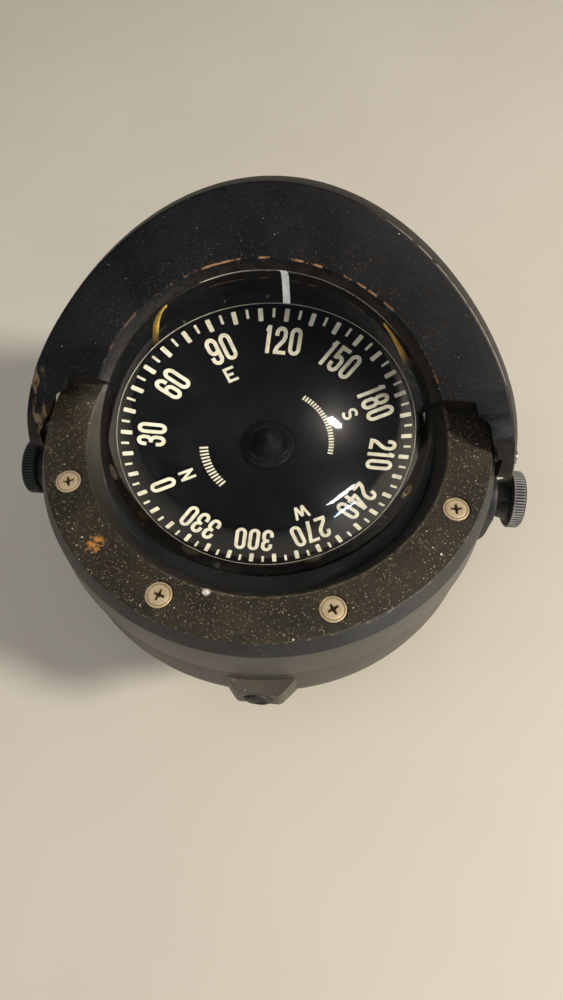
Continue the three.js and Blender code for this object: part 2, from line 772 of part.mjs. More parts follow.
function bracketArm() {
  const outer = ARM_INNER + ARM_THICKNESS;
  const top = TILT_AXIS_HEIGHT + ARM_HEAD_RADIUS;
  const fromAhead = frontPlate([
    [FOOT_HALF_LENGTH - 5, 0],
    [FOOT_HALF_LENGTH, 0],
    [outer, 52],
    [outer, top],
    [ARM_INNER, top],
    [ARM_INNER, 53],
    [FOOT_HALF_LENGTH - 5, FOOT_THICKNESS + 1],
  ], -FOOT_HALF_WIDTH, FOOT_HALF_WIDTH);
  const fromTheSide = sidePlate([
    ...arcPoints(0, TILT_AXIS_HEIGHT, ARM_HEAD_RADIUS, -0.1, Math.PI + 0.1, 16),
    [-10, 44],
    [-FOOT_HALF_WIDTH + 6, -1],
    [FOOT_HALF_WIDTH - 6, -1],
    [10, 44],
  ], 0, 100);
  return overlap(fromAhead, fromTheSide);
}

function buildBracket() {
  const studHole = rodX(STUD_RADIUS + GAP, 60, 100, 16).translate(0, 0, TILT_AXIS_HEIGHT);
  return cut(join(footPlate(), ...bothSides(bracketArm())), ...bothSides(studHole));
}

addPart(compass, 'bracket', buildBracket(), MATERIALS.bracketPlastic);

// ---------------------------------------------------------------- clamp knobs
function buildKnob() {
  const flute = pillar(0.55, KNOB_HEAD_START - 1, KNOB_HEAD_END + 1, 6);
  const flutes = Array.from({ length: KNOB_FLUTES }, (_, i) => (
    flute.clone().translate(KNOB_RADIUS + 0.15, 0, 0).rotateZ((i * 2 * Math.PI) / KNOB_FLUTES)
  ));
  const body = turned([
    [0, KNOB_HEAD_END - 0.4],
    [KNOB_RADIUS - 3, KNOB_HEAD_END - 0.4],
    [KNOB_RADIUS - 2, KNOB_HEAD_END],
    [KNOB_RADIUS - 0.8, KNOB_HEAD_END],
    [KNOB_RADIUS, KNOB_HEAD_END - 0.8],
    [KNOB_RADIUS, KNOB_HEAD_START + 0.8],
    [KNOB_RADIUS - 0.8, KNOB_HEAD_START],
    [7.6, KNOB_HEAD_START],
    [6.4, KNOB_HUB_START],
    [0, KNOB_HUB_START],
  ], 24);
  const socket = pillar(STUD_RADIUS + GAP, KNOB_HUB_START - 1, STUD_END + GAP, 16);
  return cut(body, socket, ...flutes).rotateY(Math.PI / 2);
}

const insert = turnedAboutX([
  [STUD_RADIUS + GAP, INSERT_START],
  [INSERT_RADIUS, INSERT_START],
  [INSERT_RADIUS, BOSS_FACE - 0.1],
  [STUD_RADIUS + GAP, BOSS_FACE - 0.1],
], 16).translate(0, 0, -TILT_AXIS_DROP);
const washer = turnedAboutX([
  [STUD_RADIUS + GAP, BOSS_FACE + GAP],
  [8.6, BOSS_FACE + GAP],
  [8.6, ARM_INNER - GAP],
  [STUD_RADIUS + GAP, ARM_INNER - GAP],
], 20);

function addPair(parent, name, geometry, finish) {
  const [starboard, port] = bothSides(geometry);
  addPart(parent, `${name}_starboard`, starboard, finish);
  addPart(parent, `${name}_port`, port, finish);
}

addPair(clampGroup, 'knob', buildKnob(), MATERIALS.knobPlastic);
addPair(clampGroup, 'knob_stud', rodX(STUD_RADIUS, STUD_START, STUD_END, 16), MATERIALS.steel);
addPair(clampGroup, 'friction_washer', washer, MATERIALS.rubber);
addPair(caseGroup, 'threaded_insert', insert, MATERIALS.brass);

export default compass;
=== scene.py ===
"""Looks of a bracket-mounted marine compass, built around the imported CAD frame.

Pieces are drawn in millimetres in the frame that suits them, then scaled to metres and placed:
  CASE   origin at the centre of the bezel's top face, +Y forward, tipped with the case
  VISOR  the same drawing frame with the visor folded flat, swung up about its pins
  CARD   origin at the centre of the card, level
  CLAMP  origin on the clamp axis, level
  ROW    the CAD frame itself
"""

import json
from math import asin, atan2, cos, pi, radians, sin, tan

import bmesh
import bpy
from mathutils import Matrix, Vector


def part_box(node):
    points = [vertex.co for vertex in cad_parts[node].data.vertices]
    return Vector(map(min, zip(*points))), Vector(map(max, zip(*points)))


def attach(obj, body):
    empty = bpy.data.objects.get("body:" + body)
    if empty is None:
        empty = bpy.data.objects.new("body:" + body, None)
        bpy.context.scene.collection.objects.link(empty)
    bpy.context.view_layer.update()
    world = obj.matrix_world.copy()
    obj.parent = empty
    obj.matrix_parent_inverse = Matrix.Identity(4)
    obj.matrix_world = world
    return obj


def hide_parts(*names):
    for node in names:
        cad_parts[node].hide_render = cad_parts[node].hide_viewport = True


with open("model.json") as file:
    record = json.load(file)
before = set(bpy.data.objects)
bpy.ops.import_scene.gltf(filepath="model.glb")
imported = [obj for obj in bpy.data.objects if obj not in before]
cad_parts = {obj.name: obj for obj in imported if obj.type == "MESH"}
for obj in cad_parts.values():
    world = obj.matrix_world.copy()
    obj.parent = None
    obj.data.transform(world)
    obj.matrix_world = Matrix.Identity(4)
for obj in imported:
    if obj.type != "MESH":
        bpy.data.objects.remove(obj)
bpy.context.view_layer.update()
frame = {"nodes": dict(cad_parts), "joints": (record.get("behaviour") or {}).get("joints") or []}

# ------ frames
MM = 0.001
SIDES = (1, -1)         # starboard, port
BEZEL_ABOVE_AXIS = 34.0
VISOR_PIVOT_DROP = 7.0
PIN_BORE = 2.5
STUD_BORE = 3.3
VISOR_RAISED = radians(45)

joints = {joint["name"]: joint for joint in frame["joints"]}
starboard = Vector((1, 0, 0))
forward = Vector(joints["compensator_long_turn"]["axis"]).normalized()
upward = starboard.cross(forward)
case_turn = Matrix((starboard, forward, upward)).transposed().to_4x4()
tilt_axis = Vector(joints["case_tilt"]["pos_m"])

ROW = Matrix.Identity(4)
CLAMP = Matrix.Translation(tilt_axis)
CASE = Matrix.Translation(tilt_axis + upward * BEZEL_ABOVE_AXIS * MM) @ case_turn
VISOR = (
    Matrix.Translation(Vector(joints["visor_swing"]["pos_m"]))
    @ case_turn
    @ Matrix.Rotation(VISOR_RAISED, 4, "X")
    @ Matrix.Translation((0, 0, VISOR_PIVOT_DROP * MM))
)
card_low, card_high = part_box("card")
CARD = Matrix.Translation((card_low + card_high) / 2)


# ------ mesh helpers
def link(name, mesh):
    obj = bpy.data.objects.new(name, mesh)
    bpy.context.scene.collection.objects.link(obj)
    return obj


def from_bmesh(name, bm):
    bmesh.ops.remove_doubles(bm, verts=bm.verts, dist=1e-5)
    bmesh.ops.recalc_face_normals(bm, faces=bm.faces)
    mesh = bpy.data.meshes.new(name)
    bm.to_mesh(mesh)
    bm.free()
    return link(name, mesh)


def polar(radius, angle):
    return radius * cos(angle), radius * sin(angle)


def corner_arc(before, here, after, radius, steps):
    """Points of a fillet at a corner, no longer than half of either side."""
    a = before - here
    b = after - here
    angle = a.angle(b)
    reach = min(radius / tan(angle / 2), a.length * 0.48, b.length * 0.48)
    radius = reach * tan(angle / 2)
    middle = here + (a.normalized() + b.normalized()).normalized() * (radius / sin(angle / 2))
    first = here + a.normalized() * reach - middle
    last = here + b.normalized() * reach - middle
    start = atan2(first.y, first.x)
    sweep = (atan2(last.y, last.x) - start + pi) % (2 * pi) - pi
    angles = [start + sweep * k / steps for k in range(steps + 1)]
    return [middle + Vector(polar(radius, t)) for t in angles]


def rounded(outline, steps=5):
    """Closed outline of (u, v) or (u, v, corner radius), with the corners rounded."""
    points = []
    count = len(outline)
    for i, corner in enumerate(outline):
        here = Vector(corner[:2])
        if len(corner) > 2 and corner[2] > 0:
            before = Vector(outline[i - 1][:2])
            after = Vector(outline[(i + 1) % count][:2])
            points += corner_arc(before, here, after, corner[2], steps)
        else:
            points.append(here)
    return points


def arc(cx, cy, radius, start, end, steps):
    angles = [start + (end - start) * k / steps for k in range(steps + 1)]
    return [(cx + radius * cos(t), cy + radius * sin(t)) for t in angles]


def skin(bm, rings, wrap):
    """Joins neighbouring rings of vertices; a ring of one vertex is a point on the axis.

    Without wrap, the first and last rings are closed with a face each.
    """
    pairs = len(rings) if wrap else len(rings) - 1
    for i in range(pairs):
        a, b = rings[i], rings[(i + 1) % len(rings)]
        count = max(len(a), len(b))
        if count == 1:
            continue
        for k in range(count):
            n = (k + 1) % count
            corners = [a[k % len(a)], a[n % len(a)], b[n % len(b)], b[k % len(b)]]
            bm.faces.new(list(dict.fromkeys(corners)))
    for ring in (rings[0], rings[-1]):
        if not wrap and len(ring) > 1:
            bm.faces.new(ring)


def lathe(name, outline, segments=192, wave=None):
    """Closed (radius, height) outline spun about Z. wave(angle, radius, height) adds to radius."""
    bm = bmesh.new()
    rings = []
    for r, z in rounded(outline):
        if r < 1e-6:
            rings.append([bm.verts.new((0, 0, z))])
            continue
        ring = []
        for k in range(segments):
            t = 2 * pi * k / segments
            radius = r + (wave(t, r, z) if wave else 0)
            ring.append(bm.verts.new((*polar(radius, t), z)))
        rings.append(ring)
    skin(bm, rings, True)
    return from_bmesh(name, bm)


def prism(name, outline, start, end, plane="xy", steps=6):
    """Closed outline drawn in a plane and extruded along the third axis."""
    order = {"xy": (0, 1, 2), "yz": (2, 0, 1), "xz": (0, 2, 1)}[plane]
    bm = bmesh.new()
    loops = []
    for depth in (start, end):
        loop = []
        for u, v in rounded(outline, steps):
            triple = (u, v, depth)
            loop.append(bm.verts.new([triple[i] for i in order]))
        loops.append(loop)
    skin(bm, loops, False)
    return from_bmesh(name, bm)


def reshape(obj, matrix):
    """Changes the mesh itself, and keeps its faces outward when the matrix mirrors."""
    obj.data.transform(matrix)
    if matrix.determinant() < 0:
        obj.data.flip_normals()
    return obj


def about_x(obj):
    """Heights that were drawn along +Z now run along +X."""
    return reshape(obj, Matrix.Rotation(pi / 2, 4, "Y"))


def about_aft(obj):
    """Heights that were drawn along +Z now run along -Y."""
    return reshape(obj, Matrix.Rotation(pi / 2, 4, "X"))


def move(obj, x, y, z):
    return reshape(obj, Matrix.Translation((x, y, z)))


def pillar(radius, low, high, segments):
    """A plain rod, used as a cutter."""
    return lathe("pillar", [(0, low), (radius, low), (radius, high), (0, high)], segments)


def outboard(obj, side):
    """Heights drawn along +Z now run outward, to starboard (1) or to port (-1)."""
    about_x(obj)
    return obj if side > 0 else reshape(obj, Matrix.Rotation(pi, 4, "Z"))


def mirrored(obj, name):
    return reshape(link(name, obj.data.copy()), Matrix.Scale(-1, 4, (1, 0, 0)))


def bake(obj):
    """Applies every modifier to the mesh."""
    graph = bpy.context.evaluated_depsgraph_get()
    mesh = bpy.data.meshes.new_from_object(obj.evaluated_get(graph))
    obj.modifiers.clear()
    obj.data = mesh
    return obj


def boolean(operation, obj, tools):
    for tool in tools:
        modifier = obj.modifiers.new("boolean", "BOOLEAN")
        modifier.operation = operation
        modifier.solver = "EXACT"
        modifier.object = tool
        bake(obj)
        bpy.data.objects.remove(tool)
    return obj


def carve(obj, *tools):
    return boolean("DIFFERENCE", obj, tools)


def join(obj, *others):
    return boolean("UNION", obj, others)


def common(obj, other):
    return boolean("INTERSECT", obj, [other])


def soften(obj, voxel, rounds):
    """Remeshes to an even skin, so that joins and edges take a small moulded radius."""
    remesh = obj.modifiers.new("remesh", "REMESH")
    remesh.mode = "VOXEL"
    remesh.voxel_size = voxel
    smooth = obj.modifiers.new("smooth", "SMOOTH")
    smooth.factor = 0.5
    smooth.iterations = rounds
    return bake(obj)


def merge(name, objects):
    """Gathers many small objects into one mesh."""
    bm = bmesh.new()
    for obj in objects:
        bm.from_mesh(obj.data)
        bpy.data.objects.remove(obj)
    mesh = bpy.data.meshes.new(name)
    bm.to_mesh(mesh)
    bm.free()
    return link(name, mesh)


def place(obj, where, body, slot, finish, *nodes, sharp=32):
    """Scales a piece to metres, puts it in its frame, finishes it and hangs it on its body."""
    obj.data.transform(Matrix.Scale(MM, 4))
    for polygon in obj.data.polygons:
        polygon.use_smooth = True
    obj.data.set_sharp_from_angle(angle=radians(sharp))
    if not obj.data.materials:
        obj.data.materials.append(FINISH[finish])
    obj.matrix_world = where
    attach(obj, body)
    if nodes:
        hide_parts(*nodes)


# ------ shader helpers
class Shader:
    """A node tree in a few words. Positions are in millimetres in the piece's own drawing frame."""

    def __init__(self, name):
        self.material = bpy.data.materials.new(name)
        self.material.use_nodes = True
        self.tree = self.material.node_tree
        self.tree.nodes.clear()
        self.output = self.tree.nodes.new("ShaderNodeOutputMaterial")
        coordinates = self.tree.nodes.new("ShaderNodeTexCoord")
        scaled = self.tree.nodes.new("ShaderNodeVectorMath")
        scaled.operation = "SCALE"
        scaled.inputs["Scale"].default_value = 1000
        self.tree.links.new(coordinates.outputs["Object"], scaled.inputs[0])
        self.point = scaled.outputs[0]
        split = self.node("ShaderNodeSeparateXYZ", {0: self.point})
        self.x, self.y, self.z = split.outputs

    def node(self, kind, inputs=None, **settings):
        node = self.tree.nodes.new(kind)
        for key, value in settings.items():
            setattr(node, key, value)
        for key, value in (inputs or {}).items():
            self.feed(node.inputs[key], value)
        return node

    def feed(self, socket, value):
        if isinstance(value, bpy.types.NodeSocket):
            self.tree.links.new(value, socket)
            return
        if socket.type == "RGBA" and len(value) == 3:
            value = (*value, 1)
        socket.default_value = value

    def math(self, operation, a, b=0.0, c=0.0):
        node = self.node("ShaderNodeMath", {0: a, 1: b, 2: c}, operation=operation)
        return node.outputs[0]

    def distance(self, a, b):
        """Distance from the axis that a and b are measured from."""
        squares = self.math("ADD", self.math("POWER", a, 2), self.math("POWER", b, 2))
        return self.math("SQRT", squares)

    def radius(self):
        return self.distance(self.x, self.y)

    def step(self, value, low, high, out_low=0.0, out_high=1.0):
        """Smooth change from one output to the other as value goes from low to high."""
        node = self.node(
            "ShaderNodeMapRange",
            {"Value": value, 1: low, 2: high, 3: out_low, 4: out_high},
            interpolation_type="SMOOTHSTEP",
        )
        return node.outputs[0]

    def band(self, value, middle, half):
        """One at middle, falling to zero at half on either side."""
        away = self.math("ABSOLUTE", self.math("SUBTRACT", value, middle))
        return self.step(away, 0, half, 1, 0)

    def spot(self, x, y, z, reach):
        """One at a place, falling to zero at reach."""
        inputs = {0: self.point, 1: (x, y, z)}
        away = self.node("ShaderNodeVectorMath", inputs, operation="DISTANCE").outputs["Value"]
        return self.step(away, reach * 0.35, reach, 1, 0)

    def noise(self, scale, detail=3.0, rough=0.55, stretch=(1, 1, 1)):
        """Cloudy noise from zero to one; scale is in cycles per millimetre."""
        point = self.node(
            "ShaderNodeVectorMath", {0: self.point, 1: stretch}, operation="MULTIPLY"
        ).outputs[0]
        inputs = {"Vector": point, "Scale": scale, "Detail": detail, "Roughness": rough}
        return self.node("ShaderNodeTexNoise", inputs).outputs[0]

    def specks(self, scale, size, share):
        """Small round flecks: a share of the cells of a cell pattern holds one each."""
        cells = self.node("ShaderNodeTexVoronoi", {"Vector": self.point, "Scale": scale})
        draw = self.node("ShaderNodeSeparateColor", {0: cells.outputs["Color"]})
        chosen = self.math("LESS_THAN", draw.outputs[0], share)
        reach = self.math("MULTIPLY", draw.outputs[1], size)
        inside = self.math("LESS_THAN", cells.outputs["Distance"], reach)
        return self.math("MULTIPLY", chosen, inside)

    def mix(self, share, a, b):
        node = self.node(
            "ShaderNodeMix", {0: share, 6: a, 7: b}, data_type="RGBA", clamp_factor=True
        )
        return node.outputs[2]

    def blend(self, share, a, b):
        node = self.node("ShaderNodeMix", {0: share, 2: a, 3: b}, clamp_factor=True)
        return node.outputs[0]

    def times(self, *values):
        total = values[0]
        for value in values[1:]:
            total = self.math("MULTIPLY", total, value)
        return total

    def most(self, *values):
        total = values[0]
        for value in values[1:]:
            total = self.math("MAXIMUM", total, value)
        return total

    def surface(
        self, color, roughness, height=None, depth=0.02, metallic=0.0, specular=0.5, painted_glow=0.0
    ):
        """Principled surface. depth is the bump's height in millimetres.

        The glow value is painted light: an emission that brightens a pale part standing in shade
        inside the dome.
        """
        inputs = {
            "Base Color": color,
            "Roughness": roughness,
            "Metallic": metallic,
            "Specular IOR Level": specular,
            "Emission Color": color,
            "Emission Strength": painted_glow,
        }
        if height is not None:
            bump = self.node("ShaderNodeBump", {"Height": height, "Distance": depth * MM})
            inputs["Normal"] = bump.outputs[0]
        shader = self.node("ShaderNodeBsdfPrincipled", inputs)
        self.tree.links.new(shader.outputs[0], self.output.inputs["Surface"])
        return self.material


DUST = (0.42, 0.36, 0.27)
BRIGHT_DUST = (0.75, 0.72, 0.66)
GOLD_DUST = (0.50, 0.39, 0.22)
GRIME = (0.05, 0.035, 0.02)


def moulded(name, dark, light, roughness, grain=3.2, dust=0.04, depth=0.03):
    """Moulded plastic: fine grain, slow tone changes, scattered dust and rubbed patches."""
    s = Shader(name)
    slow = s.noise(0.06, 4, 0.6)
    grains = s.noise(grain, 3, 0.6)
    tone = s.math("ADD", s.times(slow, 0.7), s.times(grains, 0.3))
    color = s.mix(s.step(tone, 0.35, 0.65), dark, light)
    flecks = s.specks(1.5, 0.34, dust)
    color = s.mix(s.times(flecks, 0.7), color, DUST)
    finish = s.math("ADD", roughness - 0.08, s.times(slow, 0.16))
    return s.surface(color, finish, grains, depth)


def metal(name, color, dull, roughness):
    """Turned metal: dull patches, fine turning marks and a little grime."""
    s = Shader(name)
    slow = s.noise(0.35, 4, 0.6)
    fine = s.noise(4.0, 3, 0.6, (1, 1, 0.2))
    tone = s.mix(s.step(slow, 0.35, 0.7), color, dull)
    tone = s.mix(s.times(s.step(fine, 0.6, 0.75), 0.35), tone, GRIME)
    finish = s.math("ADD", roughness - 0.07, s.times(fine, 0.2))
    return s.surface(tone, finish, fine, 0.01, metallic=0.9)


def bezel_finish():
    """Olive black top full of bright dust, a side band and lower wall tinted as painted
    reflections, and a worn inner edge that is lighter on its lit side as painted light.
    """
    s = Shader("bezel_plastic")
    r = s.radius()
    slow = s.noise(0.05, 4, 0.6)
    patches = s.noise(0.35, 4, 0.65)
    grains = s.noise(2.6, 4, 0.65)
    top = s.math("GREATER_THAN", s.z, -0.7)
    olive = s.mix(s.step(slow, 0.35, 0.65), (0.016, 0.0128, 0.0082), (0.030, 0.024, 0.0145))
    olive = s.mix(s.times(s.step(patches, 0.5, 0.75), 0.4), olive, (0.042, 0.034, 0.023))
    olive = s.mix(s.times(s.step(grains, 0.55, 0.68), 0.5), olive, (0.085, 0.068, 0.044))
    # Painted reflections: the side band is blue-black as if mirroring the bluish room, and the wall
    # below it is tan as if mirroring the table.
    side = s.mix(s.step(slow, 0.4, 0.6), (0.010, 0.011, 0.012), (0.016, 0.017, 0.018))
    wall_painted_reflection = s.mix(s.step(patches, 0.4, 0.6), (0.040, 0.036, 0.030), (0.058, 0.052, 0.043))
    side = s.mix(s.step(s.z, -6.6, -6.0), wall_painted_reflection, side)
    color = s.mix(top, side, olive)
    sparkle = s.specks(2.6, 0.44, 0.28)
    color = s.mix(s.times(sparkle, s.blend(top, 0.15, 0.75)), color, GOLD_DUST)
    white = s.most(s.specks(1.1, 0.26, 0.06), s.specks(0.34, 0.11, 0.14))
    color = s.mix(s.times(white, s.blend(top, 0.15, 0.9)), color, BRIGHT_DUST)
    # Real wear and painted light: the inner edge's tan wear is painted only toward the starboard
    # side, where the lip is lit.
    worn = s.times(
        s.band(r, 59.3, 0.9), s.step(s.z, -1.0, -0.4), s.step(patches, 0.36, 0.6),
        s.step(s.x, -45, 5),
    )
    color = s.mix(s.times(worn, s.step(grains, 0.4, 0.6), 0.75), color, (0.36, 0.29, 0.19))
    inner = s.times(s.step(r, 59.6, 58.6), s.step(s.z, -6, -3))
    color = s.mix(s.times(inner, 0.8), color, (0.030, 0.026, 0.021))
    rub = s.times(s.band(r, 73.2, 0.5), s.step(s.z, -1.6, -0.3), s.step(patches, 0.55, 0.7))
    color = s.mix(s.times(rub, 0.6), color, (0.24, 0.22, 0.19))
    stain = s.times(s.spot(-47.2, -46.9, 0, 4.4), s.step(patches, 0.45, 0.6))
    color = s.mix(s.times(stain, 0.85), color, (0.50, 0.22, 0.04))
    fleck = s.times(s.spot(-11.5, -58.9, -0.2, 1.6), s.step(grains, 0.4, 0.5))
    color = s.mix(fleck, color, (0.86, 0.80, 0.74))
    finish = s.math("ADD", s.blend(top, 0.32, 0.46), s.times(patches, 0.14))
    return s.surface(color, finish, grains, 0.10)


def visor_finish():
    """Black roof with dust near the dome, brown lower faces as a painted reflection, chipped inner
    edge, and a crease and port ear that are worn and carry painted highlights.
    """
    s = Shader("visor_plastic")
    r = s.radius()
    slow = s.noise(0.045, 4, 0.6)
    patches = s.noise(0.3, 4, 0.65)
    grains = s.noise(2.6, 4, 0.65)
    roof = s.step(s.z, 2.9, 3.6)
    color = s.mix(s.step(slow, 0.35, 0.65), (0.0045, 0.0045, 0.005), (0.009, 0.009, 0.010))
    # Painted reflection: the faces below the roof are brown as if mirroring the table; the roof
    # stays black.
    brown_painted_reflection = s.mix(s.step(patches, 0.4, 0.6), (0.010, 0.008, 0.006), (0.020, 0.016, 0.012))
    color = s.mix(roof, brown_painted_reflection, color)
    near = s.times(s.step(r, 71, 60), s.step(s.noise(0.12, 3), 0.42, 0.6))
    dusty = s.times(roof, s.math("ADD", 0.3, s.times(near, 0.7)))
    fine = s.specks(3.2, 0.42, 0.2)
    color = s.mix(s.times(fine, dusty, 0.55), color, (0.36, 0.25, 0.17))
    white = s.most(s.specks(1.1, 0.16, 0.06), s.specks(0.3, 0.06, 0.1))
    color = s.mix(s.times(white, roof, 0.75), color, BRIGHT_DUST)
    edge = s.times(
        s.band(r, 57.9, 0.5), s.step(s.z, 3.0, 3.6), s.step(patches, 0.48, 0.6),
        s.blend(s.step(s.y, 42, 52), 0.3, 1.0),
    )
    color = s.mix(s.times(edge, 0.75), color, (0.50, 0.27, 0.13))
    chips = s.times(
        s.band(r, 58.0, 0.7), s.step(s.z, 3.0, 3.5), s.specks(0.16, 0.22, 0.25),
        s.step(s.y, 45, 52),
    )
    color = s.mix(chips, color, (0.80, 0.58, 0.42))
    # Wear and painted highlight: a pale line on the crease, painted only on the lit starboard side.
    crease_wear_and_highlight = s.times(
        s.band(s.z, 3.5, 0.3), s.step(r, 70, 73), s.step(s.x, 25, 45), s.step(s.y, 20, 28),
        s.step(patches, 0.38, 0.5),
    )
    color = s.mix(s.times(crease_wear_and_highlight, 0.7), color, (0.42, 0.37, 0.30))
    # Wear and painted highlight: the port ear's inner edge is painted tan as if lit.
    ear = s.times(
        s.step(s.y, 22, 18), s.step(s.x, -72, -73), s.step(s.x, -77.5, -76.5),
        s.step(s.noise(0.4, 4, 0.6, (1, 0.3, 1)), 0.46, 0.6),
    )
    color = s.mix(s.times(ear, 0.6), color, (0.22, 0.16, 0.09))
    finish = s.math("ADD", 0.42, s.times(patches, 0.16))
    return s.surface(color, finish, grains, 0.06, specular=0.3)


def dome_finish():
    """Clear plastic that bends light, mirrors a little and carries a thin haze of scratches."""
    s = Shader("clear_dome")
    path = s.node("ShaderNodeLightPath")
    cloud = s.noise(0.03, 2, 0.5)
    hair = s.step(s.noise(0.9, 5, 0.65, (0.3, 1.4, 1)), 0.60, 0.74)
    haze = s.math("ADD", s.blend(cloud, 0.005, 0.014), s.times(hair, 0.006))
    fresnel = s.node("ShaderNodeFresnel", {"IOR": 1.49}).outputs[0]
    facing = s.math("MINIMUM", fresnel, 0.2)
    mirror = s.node("ShaderNodeBsdfGlossy", {"Color": (1, 1, 1), "Roughness": 0.045})
    clear = s.node(
        "ShaderNodeBsdfRefraction", {"Color": (0.95, 0.96, 0.96), "Roughness": 0.0, "IOR": 1.38}
    )
    dull = s.node("ShaderNodeBsdfGlossy", {"Color": (0.9, 0.9, 0.92), "Roughness": 0.36})
    body = s.node("ShaderNodeMixShader", {0: facing, 1: clear.outputs[0], 2: mirror.outputs[0]})
    hazed = s.node("ShaderNodeMixShader", {0: haze, 1: body.outputs[0], 2: dull.outputs[0]})
    open_air = s.node("ShaderNodeBsdfTransparent", {"Color": (0.9, 0.91, 0.91)})
    last = s.node(
        "ShaderNodeMixShader",
        {0: path.outputs["Is Shadow Ray"], 1: hazed.outputs[0], 2: open_air.outputs[0]},
    )
    s.tree.links.new(last.outputs[0], s.output.inputs["Surface"])
    return s.material


def inside_finish():
    """The dome's inner face: the fluid behind it bends light as the dome does."""
    s = Shader("dome_inside")
    clear = s.node("ShaderNodeBsdfTransparent", {"Color": (0.985, 0.985, 0.98)})
    s.tree.links.new(clear.outputs[0], s.output.inputs["Surface"])
    return s.material


def knob_finish():
    """Grey ridge tops, darker between them, and a dark hub; the port knob's head is darkened with
    painted shade.
    """
    s = Shader("knob_plastic")
    slow = s.noise(0.2, 4, 0.6)
    grains = s.noise(2.6, 3, 0.6)
    r = s.distance(s.y, s.z)
    along = s.math("ABSOLUTE", s.x)
    grey = s.mix(s.step(slow, 0.35, 0.65), (0.17, 0.17, 0.165), (0.26, 0.258, 0.25))
    dark = s.mix(s.step(slow, 0.35, 0.65), (0.010, 0.009, 0.008), (0.020, 0.018, 0.015))
    ridge = s.step(r, 9.98, 10.22)
    head = s.times(s.step(along, 85.9, 86.3), s.blend(s.step(r, 9.4, 9.6), 0.55, ridge))
    # Painted shade: the port knob stands in shade, so its grey head is painted nearly as dark as
    # its hub.
    port_painted_shade = s.blend(s.step(s.x, 1, -1), 1.0, 0.12)
    color = s.mix(s.times(head, port_painted_shade), dark, grey)
    color = s.mix(s.times(s.specks(1.5, 0.3, 0.06), 0.6), color, DUST)
    return s.surface(color, 0.48, grains, 0.04)


def ink_finish(name, clean, worn):
    s = Shader(name)
    patches = s.noise(0.5, 4, 0.6)
    fine = s.noise(6, 3, 0.6)
    color = s.mix(s.step(patches, 0.35, 0.7), clean, worn)
    return s.surface(color, 0.6, fine, 0.01)


def card_finish():
    s = Shader("card_paint")
    slow = s.noise(0.12, 4, 0.6)
    fine = s.noise(3.5, 3, 0.6)
    color = s.mix(s.step(slow, 0.35, 0.7), (0.002, 0.002, 0.0025), (0.005, 0.005, 0.0055))
    color = s.mix(s.times(s.specks(1.2, 0.16, 0.03), 0.5), color, (0.2, 0.19, 0.17))
    return s.surface(color, 0.5, fine, 0.01, specular=0.1)


def screw_finish():
    """Pale brass with grime in the ring, the recess and fine pits."""
    s = Shader("screw_brass")
    slow = s.noise(0.9, 4, 0.6)
    fine = s.noise(6, 3, 0.6)
    color = s.mix(s.step(slow, 0.35, 0.65), (0.78, 0.61, 0.38), (0.62, 0.48, 0.30))
    r = s.radius()
    ring = s.band(r, 3.35, 0.3)
    deep = s.step(s.z, -0.12, -0.55)
    grime = s.most(s.times(ring, 0.75), s.times(deep, 0.8), s.times(s.step(fine, 0.62, 0.7), 0.4))
    color = s.mix(grime, color, (0.035, 0.024, 0.014))
    finish = s.math("ADD", 0.26, s.times(slow, 0.25))
    return s.surface(color, finish, fine, 0.04, metallic=0.45)


def post_finish(name, top, foot, fade_from, fade_to, painted_glow):
    """Painted post that darkens toward its foot between two heights; its glow is painted light that
    brightens it in the shade it stands in.
    """
    s = Shader(name)
    patches = s.noise(0.7, 4, 0.6)
    color = s.mix(s.step(patches, 0.35, 0.7), top, [c * 0.72 for c in top])
    color = s.mix(s.step(s.z, fade_from, fade_to), color, foot)
    # Painted light: the glow makes the post emit, as if lit.
    return s.surface(color, 0.4, patches, 0.02, painted_glow=painted_glow)


def floor_finish():
    s = Shader("pale_floor")
    slow = s.noise(0.004, 4, 0.6)
    fine = s.noise(0.9, 4, 0.6)
    color = s.mix(s.step(slow, 0.3, 0.7), (0.535, 0.495, 0.42), (0.575, 0.535, 0.455))
    return s.surface(color, 0.42, fine, 0.02, specular=0.35)


FINISH = {
    "bezel": bezel_finish(),
    "visor": visor_finish(),
    "dome": dome_finish(),
    "inside": inside_finish(),
    "ink": ink_finish("card_marking", (0.70, 0.66, 0.53), (0.55, 0.51, 0.39)),
    "faded": ink_finish("card_faded_line", (0.40, 0.37, 0.29), (0.26, 0.24, 0.18)),
    "card": card_finish(),
    "screw": screw_finish(),
    "case": moulded(
        "case_plastic", (0.052, 0.045, 0.034), (0.085, 0.074, 0.057), 0.5, 1.8, 0.05, 0.08
    ),
    "bowl": moulded("bowl_plastic", (0.008, 0.008, 0.009), (0.016, 0.016, 0.017), 0.45),
    "bracket": moulded("bracket_plastic", (0.016, 0.016, 0.018), (0.028, 0.028, 0.030), 0.5),
    "knob": knob_finish(),
    "cap": moulded("cap_plastic", (0.016, 0.015, 0.014), (0.030, 0.027, 0.023), 0.55),
    "rubber": moulded("rubber", (0.006, 0.006, 0.006), (0.014, 0.014, 0.014), 0.8),
    "brass": metal("brass", (0.66, 0.49, 0.27), (0.42, 0.30, 0.16), 0.36),
    "steel": metal("steel", (0.55, 0.55, 0.55), (0.36, 0.36, 0.37), 0.32),
    "magnet": metal("magnet", (0.22, 0.22, 0.23), (0.14, 0.14, 0.15), 0.45),
    # The posts' last number is painted glow: emission that brightens them in the shade inside the
    # dome.
    "white": post_finish(
        "lubber_white", (0.97, 0.96, 0.92), (0.02, 0.02, 0.02), -9.5, -10.5, 0.45
    ),
    "yellow": post_finish(
        "lubber_yellow", (0.72, 0.42, 0.08), (0.03, 0.02, 0.01), -6, -14, 0.22
    ),
}

